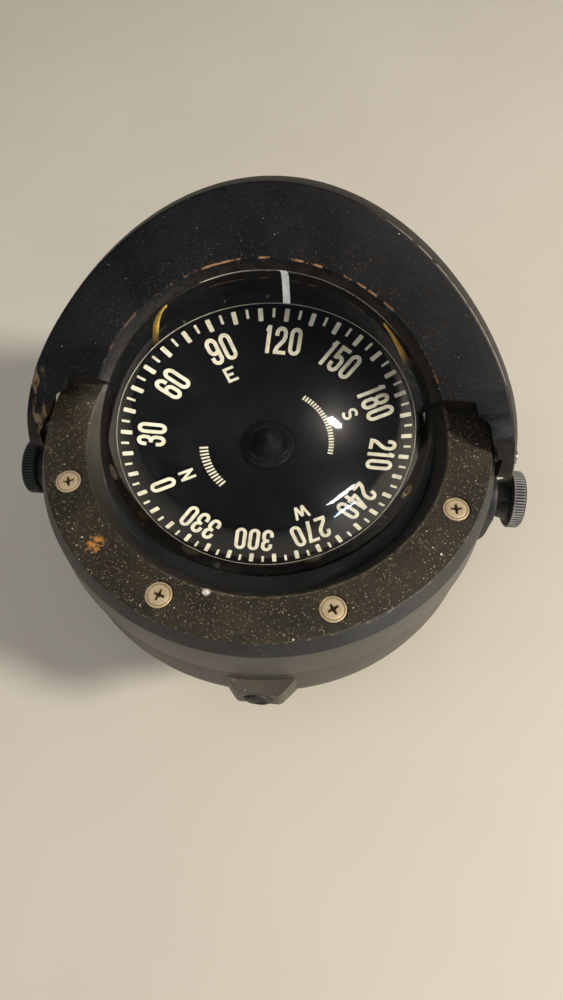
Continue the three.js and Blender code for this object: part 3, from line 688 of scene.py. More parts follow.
# ------ bezel and its screws
SCREW_CIRCLE = 66.0
SCREW_HEAD = 4.1
SCREW_SINK = 0.25
SCREW_COUNT = 8


def screw_spots():
    for k in range(SCREW_COUNT):
        t = 2 * pi * (k + 0.5) / SCREW_COUNT
        yield polar(SCREW_CIRCLE, t)


def screw_holes():
    """Cutters for the screws' clearance holes through a part under the bezel."""
    return [move(pillar(2.3, -30, -10, 24), x, y, 0) for x, y in screw_spots()]


bezel = lathe("bezel_ring", [
    (55.6, -9.3),
    (55.6, -5.2, 0.4),
    (58.9, -0.6, 0.5),
    (59.6, 0, 0.35),
    (73.0, 0, 0.6),
    (75.4, -6, 0.25),
    (76.0, -21.3, 0.7),
    (71.2, -21.3),
    (71.2, -9.3),
], 256)
tools = []
for x, y in screw_spots():
    seat = lathe("seat", [
        (0, 2), (4.55, 2), (4.45, -0.35), (2.3, -2.75), (2.3, -30), (0, -30),
    ], 48)
    tools.append(move(seat, x, y, 0))
for side in SIDES:
    tools.append(move(outboard(pillar(PIN_BORE, 68, 80, 32), side), 0, 0, -VISOR_PIVOT_DROP))
carve(bezel, *tools)
place(bezel, CASE, "case", "bezel_plastic", "bezel", "bezel_ring")


def screw_mesh():
    """A raised flat-head screw with a cross recess."""
    head = lathe("screw_template", [
        (0, 0.28),
        (2.6, 0.2, 1.0),
        (3.2, 0.08, 0.1),
        (3.35, -0.04, 0.1),
        (3.5, 0.08, 0.1),
        (SCREW_HEAD - 0.15, 0.0, 0.15),
        (SCREW_HEAD, -0.35, 0.15),
        (2.0, -2.6, 0.3),
        (1.8, -24, 0.3),
        (0, -24),
    ], 96)
    for turn in (0, pi / 2):
        arm = prism("arm", [
            (-2.15, 1, 0.1), (-1.0, -1.9, 0.2), (1.0, -1.9, 0.2), (2.15, 1, 0.1),
        ], -0.42, 0.42, "xz")
        carve(head, reshape(arm, Matrix.Rotation(turn, 4, "Z")))
    carve(head, lathe("centre", [(0, 1), (1.15, 1), (0.25, -2.2), (0, -2.2)], 24))
    mesh = head.data
    bpy.data.objects.remove(head)
    return mesh


screw = screw_mesh()
screw.materials.append(FINISH["screw"])
screw_turns = [0.4, 1.1, 0.2, 0.75, 0.35, 1.25, 0.62, 0.1]
for number, ((x, y), turned) in enumerate(zip(screw_spots(), screw_turns), 1):
    node = f"bezel_screw_{number}"
    spot = CASE @ Matrix.Translation((x * MM, y * MM, -SCREW_SINK * MM))
    spot = spot @ Matrix.Rotation(turned, 4, "Z")
    piece = link(node + "_piece", screw.copy())
    place(piece, spot, "case", "brass", "screw", node, sharp=28)

# ------ dome and what sits in it
DOME_RADIUS = 55.0
DOME_CENTRE = -7.0
DOME_WALL = 2.6
DOME_STEPS = 72


def dome_arc(radius, low):
    """Half section of the dome from a height up to its crown."""
    start = asin((low - DOME_CENTRE) / radius)
    points = arc(0, DOME_CENTRE, radius, start, pi / 2, DOME_STEPS)
    points[-1] = (0, DOME_CENTRE + radius)
    return points


dome = lathe("dome_shell", [
    (60.6, -12.6), (60.6, -9.6), (56.2, -9.6),
    *dome_arc(DOME_RADIUS, -8.4),
    *reversed(dome_arc(DOME_RADIUS - DOME_WALL, -12.6)),
], 256)
dome.data.materials.append(FINISH["dome"])
dome.data.materials.append(FINISH["inside"])
for polygon in dome.data.polygons:
    away = (polygon.center - Vector((0, 0, DOME_CENTRE))).length
    polygon.material_index = 1 if away < DOME_RADIUS - DOME_WALL / 2 else 0
place(dome, CASE, "case", "clear_dome", "dome", "dome", sharp=40)

gasket = lathe("dome_gasket_piece", [
    (54.2, -14.3, 0.3), (60.4, -14.3, 0.3), (60.4, -12.9, 0.3), (54.2, -12.9, 0.3),
], 160)
place(gasket, CASE, "case", "rubber", "rubber", "dome_gasket")

bowl = lathe("bowl_piece", [
    (70.6, -17.8, 0.4), (70.6, -14.6, 0.4), (53.4, -14.6, 0.6), (52.4, -16.5, 0.5),
    (49.6, -16.5, 0.5), (48.2, -24, 1.5), (43.5, -34, 3), (36, -41, 3), (30, -43, 1),
    (4, -43), (4, -45.4), (31, -45.4, 1), (37.5, -43.2, 3), (45.6, -35.8, 3),
    (50.6, -25, 1.5), (52.0, -17.8),
], 160)
place(carve(bowl, *screw_holes()), CASE, "case", "bowl_plastic", "bowl", "bowl")

post = lathe("pivot_post_piece", [
    (0, -42.7), (3, -42.7, 0.4), (3, -41.2, 0.4), (1.3, -38.8, 0.8), (1.2, -17, 0.5),
    (0.3, -13.0, 0.1), (0, -12.9),
], 48)
place(post, CASE, "case", "steel", "steel", "pivot_post")

lubber_ring = lathe("lubber_ring_piece", [
    (37.2, -17.2, 0.3), (48.6, -17.2, 0.3), (48.6, -15.6, 0.4), (46.8, -15.0, 0.3),
    (37.6, -15.0, 0.4),
], 160)
place(lubber_ring, CASE, "case", "bowl_plastic", "bowl", "lubber_ring")

LUBBER_CIRCLE = 38.2
LUBBER_POSTS = [
    ("lubber_post_centre", 0, 14.0, 0.75, "white", "lubber_white"),
    ("lubber_post_port", -45, 8.0, 0.5, "yellow", "lubber_yellow"),
    ("lubber_post_starboard", 45, 8.0, 0.5, "yellow", "lubber_yellow"),
]
for node, bearing, top, width, finish, slot in LUBBER_POSTS:
    knob = width * 1.3
    flare = min(width + 0.5, 0.95)
    piece = lathe(node + "_piece", [
        (0, -14.7), (flare, -14.7, 0.1), (flare, -13.8, 0.1), (width, -13.0, 0.3),
        (width, top - 2.6, 0.5), (knob, top - 1.5, 0.6), (knob * 0.8, top - 0.2, 0.5), (0, top),
    ], 40)
    t = radians(bearing)
    move(piece, LUBBER_CIRCLE * sin(t), LUBBER_CIRCLE * cos(t), 0)
    place(piece, CASE, "case", slot, finish, node, sharp=50)

# ------ card markings
HEADING = 1.5          # degrees the card has turned past 120 on the lubber line
TICK_OUTER = 35.2
CARD_TOP = 0.5
INK_FOOT = CARD_TOP + 0.01
INK_TOP = CARD_TOP + 0.07


def at_azimuth(obj, azimuth):
    return reshape(obj, Matrix.Rotation(-radians(azimuth), 4, "Z"))


def card_azimuth(degrees):
    return degrees - 120 + HEADING


def ink_bar(x0, x1, y0, y1):
    """A tick with slightly rounded corners, drawn on the card's forward radius."""
    soft = min(x1 - x0, y1 - y0) * 0.18
    return prism("bar", [
        (x0, y0, soft), (x1, y0, soft), (x1, y1, soft), (x0, y1, soft),
    ], INK_FOOT, INK_TOP, "xy", 2)


def stroke(points, width):
    """A flat ribbon along a line of points; closed if the last point repeats the first."""
    path = [Vector(p) for p in points]
    closed = (path[0] - path[-1]).length < 1e-6
    if closed:
        path = path[:-1]
    count = len(path)
    bm = bmesh.new()
    rings = []
    for i, here in enumerate(path):
        before = path[i - 1] if closed or i > 0 else here
        after = path[(i + 1) % count] if closed or i < count - 1 else here
        along_in = (here - before).normalized() if before != here else (after - here).normalized()
        along_out = (after - here).normalized() if after != here else along_in
        along = (along_in + along_out).normalized()
        across = Vector((-along.y, along.x)) * (width / 2 / max(0.5, along.dot(along_in)))
        ring = []
        for point, z in (
            (here + across, INK_FOOT),
            (here - across, INK_FOOT),
            (here - across, INK_TOP),
            (here + across, INK_TOP),
        ):
            ring.append(bm.verts.new((point.x, point.y, z)))
        rings.append(ring)
    skin(bm, rings, closed)
    return from_bmesh("stroke", bm)


def bend(cx, cy, rx, ry, start, end):
    """Part of an ellipse, with its angles in degrees."""
    angles = [radians(start + (end - start) * k / 9) for k in range(10)]
    return [(cx + rx * cos(t), cy + ry * sin(t)) for t in angles]


def glyph_paths(sign, w, h, pen):
    """Centre lines of a condensed figure; w and h are the centre-line width and height."""
    r = w / 2
    q = r * 1.15
    half = pen / 2
    top = bend(r, h - q, r, q, 180, 0)
    foot = bend(r, q, r, q, 0, -180)
    if sign == "0":
        return [bend(r, h - q, r, q, 0, 180) + bend(r, q, r, q, 180, 360) + [(w, h - q)]]
    if sign == "1":
        return [[(r, -half), (r, h + half)], [(r, h + half * 0.4), (0, h * 0.84)]]
    if sign == "2":
        body = [(0, h - q * 1.6)] + top + [(w, h * 0.66), (w * 0.86, h * 0.52)]
        body += [(w * 0.14, h * 0.2), (0, h * 0.06), (0, -half)]
        return [body, [(-half, 0), (w + half, 0)]]
    if sign == "3":
        upper = [(0, h - q * 1.6)] + top + bend(w * 0.4, h * 0.52 + q, w * 0.6, q, 0, -90)
        lower = bend(w * 0.4, h * 0.52 - q, w * 0.6, q, 90, 0) + foot + [(0, q * 1.6)]
        return [upper, lower, [(w * 0.25, h * 0.52), (w * 0.5, h * 0.52)]]
    if sign == "4":
        x = w * 0.72
        return [
            [(x, -half), (x, h + half)],
            [(x - half * 0.4, h + half), (-half * 0.2, h * 0.26)],
            [(-half, h * 0.24), (w + half, h * 0.24)],
        ]
    if sign == "5":
        bowl_line = bend(r, h * 0.62 - q, r, q, 150, 0) + foot + [(0, q * 1.6)]
        return [[(w + half * 0.6, h), (-half, h)], [(0, h), (0, h * 0.47)], bowl_line]
    if sign == "6":
        loop = bend(r, h * 0.58 - q, r, q, 0, 180) + bend(r, q, r, q, 180, 360)
        return [
            loop + [(w, h * 0.58 - q)],
            [(0, q)] + [(0, h - q)] + top + [(w, h - q * 1.5)],
        ]
    if sign == "7":
        return [[(-half, h), (w + half, h)], [(w, h), (w * 0.62, h * 0.5), (w * 0.3, -half)]]
    if sign == "8":
        upper = bend(r, h - q * 0.95, r * 0.92, q * 0.95, 0, 180) + bend(
            r, h * 0.54 + q * 0.8, r * 0.92, q * 0.8, 180, 360
        )
        lower = bend(r, h * 0.54 - q * 0.85, r, q * 0.85, 0, 180) + bend(r, q, r, q, 180, 360)
        return [upper + [upper[0]], lower + [lower[0]]]
    if sign == "9":
        return [[(w - x, h - y) for x, y in path] for path in glyph_paths("6", w, h, pen)]
    if sign == "N":
        return [[(0, -half), (0, h + half)], [(0, h), (w, 0)], [(w, -half), (w, h + half)]]
    if sign == "E":
        return [
            [(0, -half), (0, h + half)],
            [(-half, h), (w + half, h)],
            [(-half, 0), (w + half, 0)],
            [(0, h / 2), (w * 0.85, h / 2)],
        ]
    if sign == "S":
        q = h / 4
        upper = bend(r, h - q, r, q, 25, 250)
        return [upper + bend(r, q, r, q, 70, -155)]
    return [
        [(0, h + half), (w * 0.25, -half * 0.6)],
        [(w * 0.25, -half * 0.6), (w * 0.5, h * 0.9)],
        [(w * 0.5, h * 0.9), (w * 0.75, -half * 0.6)],
        [(w * 0.75, -half * 0.6), (w, h + half)],
    ]


def glyph(sign, w, h, pen):
    strokes = [stroke(path, pen) for path in glyph_paths(sign, w, h, pen)]
    return join(*strokes)


def sign_width(sign, w):
    return {"1": w * 0.42, "4": w * 1.05}.get(sign, w)


def label(text, azimuth, middle, w, h, pen, gap):
    """Upright text whose middle sits at a radius and azimuth, tops outward."""
    widths = [sign_width(sign, w) for sign in text]
    total = sum(widths) + (gap + pen) * (len(text) - 1)
    x = -total / 2
    placed = []
    for sign, wide in zip(text, widths):
        piece = glyph(sign, wide, h, pen)
        placed.append(at_azimuth(move(piece, x, middle - h / 2, 0), azimuth))
        x += wide + gap + pen
    return placed


def ink_on_card(name, marks):
    place(merge(name, marks), CARD, "card", "card_paint", "ink")


NUMERAL_HEIGHT = 5.8
NUMERAL_WIDTH = 1.95
NUMERAL_PEN = 0.92
NUMERAL_GAP = 0.55
NUMERAL_MIDDLE = 28.0
LETTER_HEIGHT = 3.2
LETTER_PEN = 0.66
LETTER_MIDDLE = 21.4

numerals = []
for degrees in range(0, 360, 30):
    numerals += label(
        str(degrees), card_azimuth(degrees), NUMERAL_MIDDLE,
        NUMERAL_WIDTH, NUMERAL_HEIGHT, NUMERAL_PEN, NUMERAL_GAP,
    )
ink_on_card("card_numerals", numerals)

letters = []
for sign, degrees, drift in (("N", 0, 0.6), ("E", 90, -1.6), ("S", 180, 0.6), ("W", 270, 0)):
    wide = 3.4 if sign == "W" else 2.0
    azimuth = card_azimuth(degrees) + drift
    letters += label(sign, azimuth, LETTER_MIDDLE, wide, LETTER_HEIGHT, LETTER_PEN, 0)
ink_on_card("card_letters", letters)

ticks = []
for degrees in range(0, 360, 5):
    long_tick = degrees % 10 == 0
    half = 0.54 if long_tick else 0.30
    length = 2.7 if long_tick else 1.9
    bar = ink_bar(-half, half, TICK_OUTER - length, TICK_OUTER)
    ticks.append(at_azimuth(bar, card_azimuth(degrees)))
ink_on_card("card_ticks", ticks)

hatches = []
for middle, spread, low, high, count in ((0, 21, 14.6, 16.7, 13), (180, 33, 14.9, 16.2, 23)):
    for k in range(count):
        azimuth = card_azimuth(middle) + spread * (2 * k / (count - 1) - 1)
        hatches.append(at_azimuth(ink_bar(-0.22, 0.22, low, high), azimuth))
ink_on_card("card_hatched_arcs", hatches)

rim = lathe("card_rim_line", [
    (36.10, 0.42), (36.26, 0.42), (36.26, 0.54, 0.03), (36.10, 0.54, 0.03),
], 256)
place(rim, CARD, "card", "card_paint", "faded")

card = lathe("card_disc", [
    (6.9, -0.5, 0.1), (36.3, -0.5, 0.2), (36.3, 0.5, 0.12), (6.9, 0.5, 0.1),
], 256)
place(card, CARD, "card", "card_paint", "card", "card")

hub = lathe("card_hub_piece", [
    (4.6, -3.4, 0.2), (6.6, -3.4, 0.3), (6.6, 0.7, 0.2), (5.7, 0.8, 0.1), (5.4, 1.4, 0.2),
    (4.7, 1.5, 0.1), (4.5, 1.1, 0.1), (3.9, 1.2, 0.1), (3.6, 2.2, 0.3), (2.0, 3.9, 0.8),
    (1.0, 5.2, 0.3), (0.55, 5.6, 0.2), (0, 5.8), (0, 0.7), (4.6, 0.7),
], 96)
place(hub, CARD, "card_swing", "card_paint", "card", "card_hub")

# ------ lower case
case_gasket = lathe("case_gasket_piece", [
    (71.2, -23.3, 0.2), (73.9, -23.3, 0.5), (73.9, -21.6, 0.5), (71.2, -21.6, 0.2),
], 200)
place(case_gasket, CASE, "case", "rubber", "rubber", "case_gasket")

AFT_CAP_HEIGHT = -38.0
AFT_CAP_OFFSET = 4.0
LONG_ROD_HEIGHT = -53
CROSS_ROD_HEIGHT = -60
CROSS_ROD_FORWARD = 14

lower = lathe("lower_case_piece", [
    (74.8, -23.6, 0.5), (74.8, -42, 6), (74, -47, 6), (70.5, -54.5, 12), (64, -61, 14),
    (55, -66.2, 14), (44, -69.8, 16), (33, -71.4, 6), (0, -71.4), (0, -68.6), (33, -68.6, 6),
    (43, -67, 10), (53.3, -63.6, 10), (61.9, -58.6, 10), (67.9, -52.6, 8), (71.2, -46, 4),
    (63.2, -35, 1),
    (63.2, -18.1, 0.4), (70.9, -18.1, 0.4), (70.9, -23.6),
], 224)
bosses = []
for side in SIDES:
    boss = outboard(lathe("boss", [
        (0, 62.5), (11.2, 62.5), (11.2, 70.5), (10.3, 73.5, 1.0), (10, 75.4, 0.5), (0, 75.4),
    ], 64), side)
    bosses.append(move(boss, 0, 0, -BEZEL_ABOVE_AXIS))
aft_boss = prism("aft_boss", [
    (-12.6, -70), (-11.8, -73, 1.5), (-7.9, -77.9, 2.0), (-6.4, -78.9, 1.0), (6.4, -78.9, 1.0),
    (7.9, -77.9, 2.0), (11.8, -73, 1.5), (12.6, -70),
], -45, -31, "xy")
aft_trim = prism("aft_trim", [
    (-66, -31), (-74, -31), (-78.9, -32, 1.4), (-78.9, -44, 1.4), (-72, -45.6), (-66, -45.6),
], -20, 20, "yz")
join(lower, *bosses, move(common(aft_boss, aft_trim), AFT_CAP_OFFSET, 0, 0))
cutters = []
for side in SIDES:
    bore = outboard(lathe("bore", [
        (0, 60), (5.3, 60), (5.3, 74.9, 0.2), (5.9, 80), (0, 80),
    ], 48), side)
    cutters.append(move(bore, 0, 0, -BEZEL_ABOVE_AXIS))
cap_seat = about_aft(pillar(4.7, 75.9, 90, 48))
long_bore = about_aft(pillar(2.5, 0, 90, 32))
cross_bore = about_x(pillar(2.5, 0, 90, 32))
cutters.append(move(cap_seat, AFT_CAP_OFFSET, 0, AFT_CAP_HEIGHT))
cutters.append(move(long_bore, 0, 0, LONG_ROD_HEIGHT))
cutters.append(move(cross_bore, 0, CROSS_ROD_FORWARD, CROSS_ROD_HEIGHT))
carve(lower, *cutters, *screw_holes())
place(lower, CASE, "case", "case_plastic", "case", "lower_case")

cap = about_aft(lathe("aft_cap_piece", [
    (0, 76.2), (4.4, 76.2, 0.3), (4.4, 79.4, 0.5), (3.6, 79.9, 0.4), (2.8, 79.9, 0.3),
    (2.5, 79.5, 0.3), (0, 79.4),
], 64))
slot_tool = prism("slot", [(-2.6, -0.4), (2.6, -0.4), (2.6, 0.4), (-2.6, 0.4)], 78.8, 84)
move(carve(cap, about_aft(slot_tool)), AFT_CAP_OFFSET, 0, AFT_CAP_HEIGHT)
place(cap, CASE, "case", "knob_plastic", "cap", "aft_cap")

# ------ sun visor
HOOD_STEPS = 150
HOOD_INNER = 57.8       # radius of the roof's inner edge
HOOD_OUTER = 81.0       # nominal radius that sets where the skirt's ends lie
ROOF_TOP = 3.9
ROOF_UNDER = 0.7
SKIRT_FOOT = -7.1
ROOF_END = 18.5
LIP_FOOT = -1.4
END_SLOPE = 0.75        # the hood's end faces lean aft toward the underside
END_DEPTH = 3.2         # and stop leaning at this depth
EAR_STEPS = 30
EAR_START = -7          # degrees from starboard
EAR_SWEEP = 24
EAR_INNER = 76.5
EAR_DEPTH = 8           # below the skirt's foot
# Where the ledge reaches in over the bezel, it is partly the ear's own top and partly a dark sheet
# put where there is only shade, closing the gap beside the hood's end.
EAR_LEDGE = (           # (forward of the pivot, radius of the ear's upper inner edge)
    (-3, 76.4), (0, 75.4), (2.2, 74.6), (4.6, 73.9), (5.8, 72.7),
    (13.5, 71.4), (15.5, 69.6), (17, 68.0), (24, 67.0),
)


def visor_edge(angle):
    """Radius of the skirt's foot; the outline is squarer than a circle."""
    return 78.8 + 3.9 * sin(angle) ** 6 + 3.8 * cos(angle) ** 10


def between(table, at):
    """Straight-line reading of a table of (position, value) rows."""
    for (a, before), (b, after) in zip(table, table[1:]):
        if at < b:
            return before + (after - before) * max(0.0, (at - a) / (b - a))
    return table[-1][1]


def hood():
    """Roof and skirt swept from one ear to the other along the visor's curved outline."""
    inner_start = asin(ROOF_END / HOOD_INNER)
    outer_start = asin(ROOF_END / HOOD_OUTER)
    bm = bmesh.new()
    rings = []
    for k in range(HOOD_STEPS + 1):
        share = k / HOOD_STEPS
        a = inner_start + (pi - 2 * inner_start) * share
        b = outer_start + (pi - 2 * outer_start) * share
        inner = Vector(polar(HOOD_INNER, a))
        outer = Vector(polar(visor_edge(b), b))
        at_end = k in (0, HOOD_STEPS)
        if at_end:
            outer.y = ROOF_END
        span = (outer - inner).length
        section = rounded([
            (1.8, 0.9, 0.5),
            (-0.3, LIP_FOOT, 0.5),
            (-2.7, LIP_FOOT, 0.3),
            (-3.25, 2.3, 0.2),
            (0, ROOF_TOP, 0.7),
            (span - 3.5, ROOF_TOP, 1.1),
            (span, SKIRT_FOOT, 0.5),
            (span - 1.6, SKIRT_FOOT, 0.5),
            (span - 4.7, ROOF_UNDER, 1.5),
        ], 4)
        along = (outer - inner).normalized()
        ring = []
        for u, z in section:
            point = inner + along * u
            if at_end:
                point.y -= END_SLOPE * min(ROOF_TOP - z, END_DEPTH)
            ring.append(bm.verts.new((point.x, point.y, z)))
        rings.append(ring)
    skin(bm, rings, False)
    return from_bmesh("hood", bm)


def visor_ear(side):
    """Cheek that carries the pivot pin; its outer face follows the hood's drafted skirt."""
    pivot = -VISOR_PIVOT_DROP
    bm = bmesh.new()
    rings = []
    for k in range(EAR_STEPS + 1):
        angle = radians(EAR_START + EAR_SWEEP * k / EAR_STEPS)
        reach = visor_edge(max(angle, 0.0))
        ledge = between(EAR_LEDGE, reach * sin(angle))
        ring = []
        for r, z in rounded([
            (reach, SKIRT_FOOT - EAR_DEPTH), (reach, SKIRT_FOOT), (reach - 3.5, ROOF_TOP, 1.1),
            (ledge, ROOF_TOP, 0.5), (ledge, ROOF_UNDER, 0.3), (EAR_INNER, ROOF_UNDER),
            (EAR_INNER, SKIRT_FOOT - EAR_DEPTH),
        ], 4):
            ring.append(bm.verts.new((*polar(r, angle), z)))
        rings.append(ring)
    skin(bm, rings, False)
    ear = from_bmesh("ear", bm)
    outline = prism("outline", [
        *arc(0, pivot, 7, 1.5 * pi, 0.62 * pi, 24),
        (6.5, ROOF_TOP - 0.5, 2.0),
        (24, ROOF_TOP + 0.5),
        (24, SKIRT_FOOT),
        (19, SKIRT_FOOT - 5, 2.0),
        (14, pivot - 7, 2.0),
    ], 60, 90, "yz")
    common(ear, outline)
    return reshape(ear, Matrix.Scale(side, 4, (1, 0, 0)))


visor = join(hood(), visor_ear(1), visor_ear(-1))
for side in SIDES:
    carve(visor, move(outboard(pillar(PIN_BORE, 60, 90, 40), side), 0, 0, -VISOR_PIVOT_DROP))
visor.name = "sun_visor_piece"
place(visor, VISOR, "visor", "visor_plastic", "visor", "sun_visor", sharp=50)


def two_sides(build, name, where, body, slot, finish, node, sharp=32):
    """Builds the starboard piece and its mirror image; a body name may hold {side}."""
    first = build(name + "_starboard_piece")
    second = mirrored(first, name + "_port_piece")
    for piece, side in ((first, "starboard"), (second, "port")):
        place(
            piece, where, body.format(side=side), slot, finish, node.format(side=side),
            sharp=sharp,
        )


def visor_pin(name):
    pin = about_x(lathe(name, [
        (0, 69.5), (2.2, 69.5, 0.3), (2.2, 81.8), (2.4, 81.8), (2.4, 82.6, 0.3),
        (0, 82.7),
    ], 48))
    return move(pin, 0, 0, -VISOR_PIVOT_DROP)


two_sides(visor_pin, "visor_pin", CASE, "case", "steel", "steel", "visor_pin_{side}")

# ------ clamp knobs, studs, washers
KNURLS = 60
KNURL_DEPTH = 0.42
KNOB_RADIUS = 10.3
HEAD_START = 86.1
HEAD_END = 90.9
STUD_RADIUS = 3.0
STUD_START = 64.0
STUD_END = 88.6
THREAD_PITCH = 1.0
THREAD_DEPTH = 0.5


def knurl(angle, radius, height):
    """Straight ridges round the rim, fading into the rounded shoulders."""
    if radius < 9.4 or not HEAD_START < height < HEAD_END:
        return 0
    fade = min(1, (height - HEAD_START) / 0.9, (HEAD_END - height) / 0.9)
    ridge = abs((angle * KNURLS / (2 * pi)) % 1 - 0.5) * 2
    return -KNURL_DEPTH * fade * ridge ** 1.4


def knob(name):
    heights = [86.7 + 3.6 * k / 6 for k in range(7)]
    piece = lathe(name, [
        (0, 81.5), (6.4, 81.5, 0.4), (6.8, 83.0, 1.0), (7.6, 86, 0.8), (9.5, 86, 0.3),
        *[(KNOB_RADIUS, height) for height in heights],
        (9.5, 91, 0.3), (8.4, 91, 0.3), (7.6, 90.6, 0.5), (0, 90.6),
    ], KNURLS * 8, knurl)
    return about_x(carve(piece, pillar(STUD_BORE, 80, 88.9, 40)))


def stud(name):
    """A rod with a real single-start thread."""
    around, along = 36, 12
    bm = bmesh.new()
    rings = [[bm.verts.new((0, 0, STUD_START))]]
    count = int((STUD_END - STUD_START) * along / THREAD_PITCH)
    for k in range(count + 1):
        z = STUD_START + THREAD_PITCH * k / along
        ring = []
        for n in range(around):
            t = 2 * pi * n / around
            phase = ((z / THREAD_PITCH) - n / around) % 1
            r = STUD_RADIUS - THREAD_DEPTH * (1 - abs(2 * phase - 1) ** 1.3)
            ring.append(bm.verts.new((*polar(r, t), z)))
        rings.append(ring)
    rings.append([bm.verts.new((0, 0, STUD_END))])
    skin(bm, rings, False)
    return about_x(from_bmesh(name, bm))


def washer(name):
    return about_x(lathe(name, [
        (STUD_BORE, 75.7, 0.2), (8.6, 75.7, 0.3), (8.6, 76.7, 0.3), (STUD_BORE, 76.7, 0.2),
    ], 64))


def insert(name):
    piece = about_x(lathe(name, [
        (STUD_BORE, 63.4), (5, 63.4, 0.3), (5, 75.3, 0.3), (STUD_BORE, 75.3, 0.3),
    ], 48))
    return move(piece, 0, 0, -BEZEL_ABOVE_AXIS)


two_sides(knob, "knob", CLAMP, "knob_{side}", "knob_plastic", "knob", "knob_{side}")
two_sides(stud, "knob_stud", CLAMP, "stud_{side}", "steel", "steel", "knob_stud_{side}")
two_sides(
    washer, "friction_washer", CLAMP, "bracket", "rubber", "rubber", "friction_washer_{side}"
)
two_sides(
    insert, "threaded_insert", CASE, "case", "brass", "brass", "threaded_insert_{side}"
)

# ------ bracket
AXIS_HEIGHT = tilt_axis.z / MM
ARM_INNER = 77.0
ARM_OUTER = 81.2


def bracket_arm(side):
    """The front view of an arm crossed with its side view."""
    across = prism("across", [
        (57, 0), (62, 0), (ARM_OUTER, 52, 7), (ARM_OUTER, AXIS_HEIGHT + 12),
        (ARM_INNER, AXIS_HEIGHT + 12), (ARM_INNER, 53, 6), (57, 5.5),
    ], -30, 30, "xz")
    profile = prism("profile", [
        *arc(0, AXIS_HEIGHT, 9.5, -0.1, pi + 0.1, 40),
        (-10, 44, 12), (-20, -1), (20, -1), (10, 44, 12),
    ], 40, 100, "yz")
    return reshape(common(across, profile), Matrix.Scale(side, 4, (1, 0, 0)))


def bracket():
    """Foot and two arms in one moulding, with four screw holes and two stud holes."""
    foot = prism("bracket_piece", [
        (-59, -26, 6), (59, -26, 6), (59, 26, 6), (-59, 26, 6),
    ], 0, 4.5)
    join(foot, bracket_arm(1), bracket_arm(-1))
    soften(foot, 0.55, 3)
    for x in (-38, 38):
        for y in (-16, 16):
            hole = lathe("hole", [
                (0, -2), (2.4, -2), (2.4, 2.6), (4.4, 4.6), (4.4, 8), (0, 8),
            ], 40)
            carve(foot, move(hole, x, y, 0))
    for side in SIDES:
        carve(foot, move(outboard(pillar(STUD_BORE, 60, 95, 40), side), 0, 0, AXIS_HEIGHT))
    return foot


place(bracket(), ROW, "bracket", "bracket_plastic", "bracket", "bracket", sharp=50)

# ------ CAD nodes that stay
KEPT = {
    "jewel_cup": "brass", "card_float": "bowl", "card_magnet_1": "magnet",
    "card_magnet_2": "magnet", "diaphragm": "rubber", "diaphragm_ring": "brass",
    "fill_plug": "brass", "compensator_rod_long": "brass", "compensator_rod_cross": "brass",
    "compensator_magnet_long": "magnet", "compensator_magnet_cross": "magnet",
}
for node, finish in KEPT.items():
    for material_slot in frame["nodes"][node].material_slots:
        material_slot.material = FINISH[finish]

# ------ floor, light, camera
FLOOR = 4.0
floor = link("floor", bpy.data.meshes.new("floor"))
floor.data.from_pydata([
    (-FLOOR, -FLOOR, 0), (FLOOR, -FLOOR, 0), (FLOOR, FLOOR, 0), (-FLOOR, FLOOR, 0),
], [], [(0, 1, 2, 3)])
floor.data.materials.append(floor_finish())
floor.location.z = -0.0005

world = bpy.data.worlds.new("studio")
bpy.context.scene.world = world
world.use_nodes = True
tree = world.node_tree
background = tree.nodes["Background"]
path = tree.nodes.new("ShaderNodeLightPath")
tone = tree.nodes.new("ShaderNodeMix")
tone.data_type = "RGBA"
tone.inputs[6].default_value = (0.26, 0.26, 0.28, 1)         # the room as a light
tone.inputs[7].default_value = (0.030, 0.033, 0.040, 1)      # the room in reflections
tree.links.new(path.outputs["Is Glossy Ray"], tone.inputs[0])
tree.links.new(tone.outputs[2], background.inputs["Color"])
background.inputs["Strength"].default_value = 1.0

AIM = Vector((0, 0, 0.09))


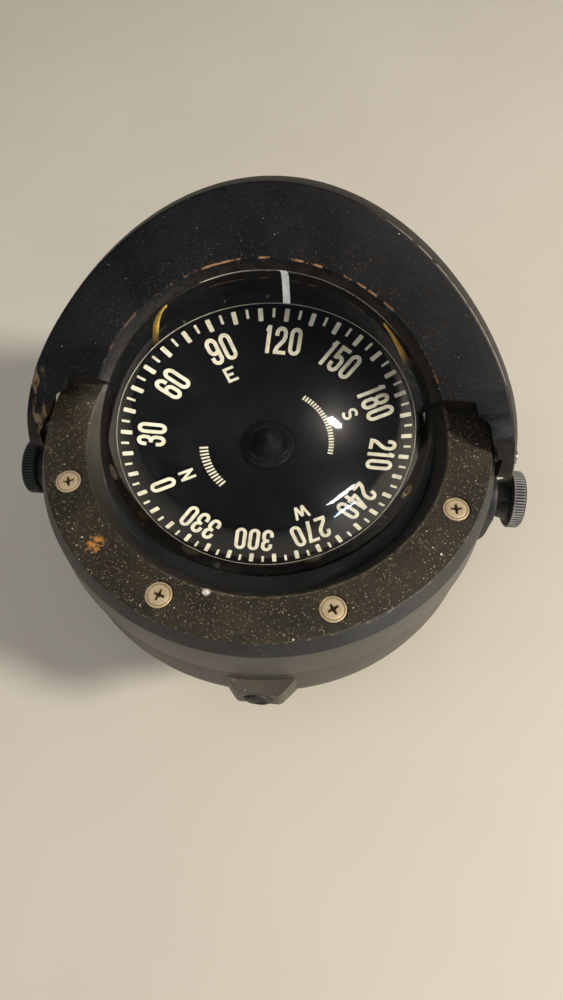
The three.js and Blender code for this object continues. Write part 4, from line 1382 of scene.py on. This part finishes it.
def soft_light(
    name, azimuth, elevation, distance, width, height, power, color, glossy=True, diffuse=True
):
    """An oval soft light; azimuth is measured clockwise from +Y."""
    a, e = radians(azimuth), radians(elevation)
    data = bpy.data.lights.new(name, "AREA")
    data.shape = "ELLIPSE"
    data.size = width
    data.size_y = height
    data.energy = power
    data.color = color
    lamp = bpy.data.objects.new(name, data)
    bpy.context.scene.collection.objects.link(lamp)
    direction = Vector((sin(a) * cos(e), cos(a) * cos(e), sin(e)))
    lamp.location = AIM + direction * distance
    lamp.rotation_euler = direction.to_track_quat("Z", "Y").to_euler()
    lamp.visible_camera = False
    lamp.visible_glossy = glossy
    lamp.visible_diffuse = diffuse


soft_light("key", 100, 36, 1.5, 0.24, 0.20, 26, (1.0, 0.93, 0.82), glossy=False)
soft_light("overhead", 200, 72, 1.6, 1.4, 1.4, 8, (1.0, 0.95, 0.88), glossy=False)
soft_light("window", 185, 20, 1.8, 1.2, 0.7, 2.0, (0.74, 0.85, 1.0), glossy=False)
soft_light("lamp_glint", 101, 43.5, 1.5, 0.11, 0.26, 20, (1.0, 0.93, 0.82), diffuse=False)
soft_light("strip_glint", 129, 8, 1.8, 0.62, 0.07, 7.0, (1.0, 0.97, 0.92), diffuse=False)
soft_light("sky_glint", 130, -3, 1.8, 0.46, 0.12, 5.0, (0.55, 0.77, 1.0), diffuse=False)

VIEW_PITCH = radians(60.12)     # downward
VIEW_YAW = radians(-7.33)
VIEW_ROLL = radians(-2.24)
CAMERA_SPOT = Vector((21.1, -134.0, 188.3))     # in the CASE drawing frame
FOCAL_IN_IMAGE_HEIGHTS = 0.7

camera_data = bpy.data.cameras.new("camera")
camera_data.sensor_width = 36
camera_data.lens = 36 * FOCAL_IN_IMAGE_HEIGHTS
camera_data.clip_start = 0.01
camera = bpy.data.objects.new("camera", camera_data)
bpy.context.scene.collection.objects.link(camera)
turn = (
    Matrix.Rotation(-VIEW_YAW, 4, "Z")
    @ Matrix.Rotation(pi / 2 - VIEW_PITCH, 4, "X")
    @ Matrix.Rotation(VIEW_ROLL, 4, "Z")
)
camera.matrix_world = CASE @ Matrix.Translation(CAMERA_SPOT * MM) @ turn
bpy.context.scene.camera = camera
bpy.context.scene.view_settings.view_transform = "Standard"
